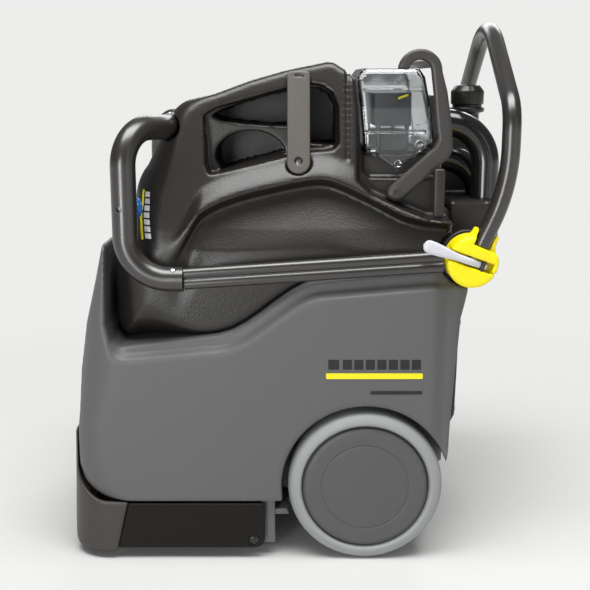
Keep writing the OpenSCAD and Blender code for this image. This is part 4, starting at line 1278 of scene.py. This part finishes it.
def make_screws():
    """Visible fasteners on the tubes, straps, side plates and rear cover."""
    lift = math.radians(35)
    s, c = math.sin(STRAP_LEAN), math.cos(STRAP_LEAN)
    for side, word in SIDES:
        first = side < 0
        out = (0, side * math.sin(lift), math.cos(lift))
        spot = (-158, side * RAIL_Y + out[1] * LOOP_R, LOOP_Z + out[2] * LOOP_R)
        screw("loop_screw_" + word, spot, out, 3.8, ("loop_screws",) if first else ())
        screw("plate_screw_" + word, (-52, side * 202, 29), (0, side, 0), 5.8,
              ("side_plate_screws",) if first else (), "black_gloss")
        px, py, pz = STRAP_AT
        rise, proud = -18, 1.2
        spot = (px, -side * (py - proud * c + rise * s), pz + rise * c + proud * s)
        screw("strap_screw_" + word, spot, (0, side * c, s), 5.0, ("strap_screws",) if first else ())
        for z, x in ((206, 239.4), (336, 243.7)):
            screw(f"cover_screw_{word}_{z}", (x, side * 138, z), (1, 0, 0), 4.8,
                  ("rear_cover_screws",) if first and z == 206 else ())
    for word, y in (("top", -70), ("middle", 0)):
        screw("loop_screw_" + word, (CROSS_X, y, LOOP_TOP + LOOP_R - 0.1), (0, 0, 1), 3.8)


def make_brush():
    """Roller core and shaft, with staggered tufts laid in a spiral."""
    cx, cz = BRUSH_X, node_centre("brush_roller")[2]
    half = 150.0
    profile = fillet_profile([(0, -182, 0), (6, -182, 1), (6, -half, 0), (26, -half, 2), (26, half, 2),
                              (6, half, 0), (6, 190, 1), (0, 190, 0)])
    core = lathe(profile, (cx, 0, cz), n=40)
    tufts = []
    rows, along = 12, 36
    for i in range(rows):
        for j in range(along):
            y = -half + 6 + (2 * half - 12) * (j + 0.5 * (i % 2)) / along
            a = math.radians(360 * i / rows + 0.35 * y)
            out = Vector((math.cos(a), 0, math.sin(a)))
            side = Vector((-math.sin(a), 0, math.cos(a)))
            base = Vector((cx, y, cz))
            v = [base + out * r + side * a + Vector((0, b, 0))
                 for r, w in ((24, 2.0), (42, 2.6), (49.2, 3.4)) for a, b in circle_profile(w, 6)]
            f = [(s + n, (s + 1) % 6 + n, 6 + (s + 1) % 6 + n, 6 + s + n) for n in (0, 6) for s in range(6)]
            tufts.append((v, f + [tuple(range(12, 18)), tuple(range(5, -1, -1))]))
    verts, faces = merge(core, *tufts)
    obj = piece("brush_with_tufts", verts, faces, "bristle", "brush", ("brush_roller",))
    work = bmesh.new()
    work.from_mesh(obj.data)
    bmesh.ops.recalc_face_normals(work, faces=work.faces)
    work.to_mesh(obj.data)
    work.free()


def carry_over():
    """CAD nodes whose shape is right: rounded edges where they show, a better material everywhere."""
    for node, slot, body, width, material in (
            ("hinge_plates", "black_gloss", ROOT, 1.5, None), ("hinge_bolts", "steel", ROOT, 0.8, None),
            ("cam_pins", "steel", "handle", 0.4, "black_gloss"),
            ("power_inlet", "black_gloss", ROOT, 0.8, None),
            ("rocker_vacuum", "red_plastic", "rocker_1", 0.8, None),
            ("rocker_brush", "red_plastic", "rocker_2", 0.8, None),
            ("brush_housing", "dark_moulding", ROOT, 1.0, None),
            ("suction_shoe", "dark_moulding", ROOT, 1.0, None),
            ("base_plate", "dark_moulding", ROOT, 1.0, "grey_shell")):
        refined(node, slot, body, width, material)
    slots = {part["node"]: part["material_slot"] for part in frame["record"]["subparts"]}
    for node, obj in frame["nodes"].items():
        for place in obj.material_slots:
            place.material = MATS[slots[node]]


# ---------------- everything together

add_camera()
add_lights()
add_world()
add_floor()
make_body()
make_front_cover()
make_side_plates()
make_rear_cover()
make_recovery_tank()
make_front_loop()
make_side_rails()
make_handle()
make_joints()
make_levers()
make_wheels()
make_dome()
make_bail()
make_housing()
make_hoses()
make_stack()
make_straps()
make_cap()
make_badges()
make_screws()
make_brush()
carry_over()

bpy.context.scene.view_settings.view_transform = "Standard"
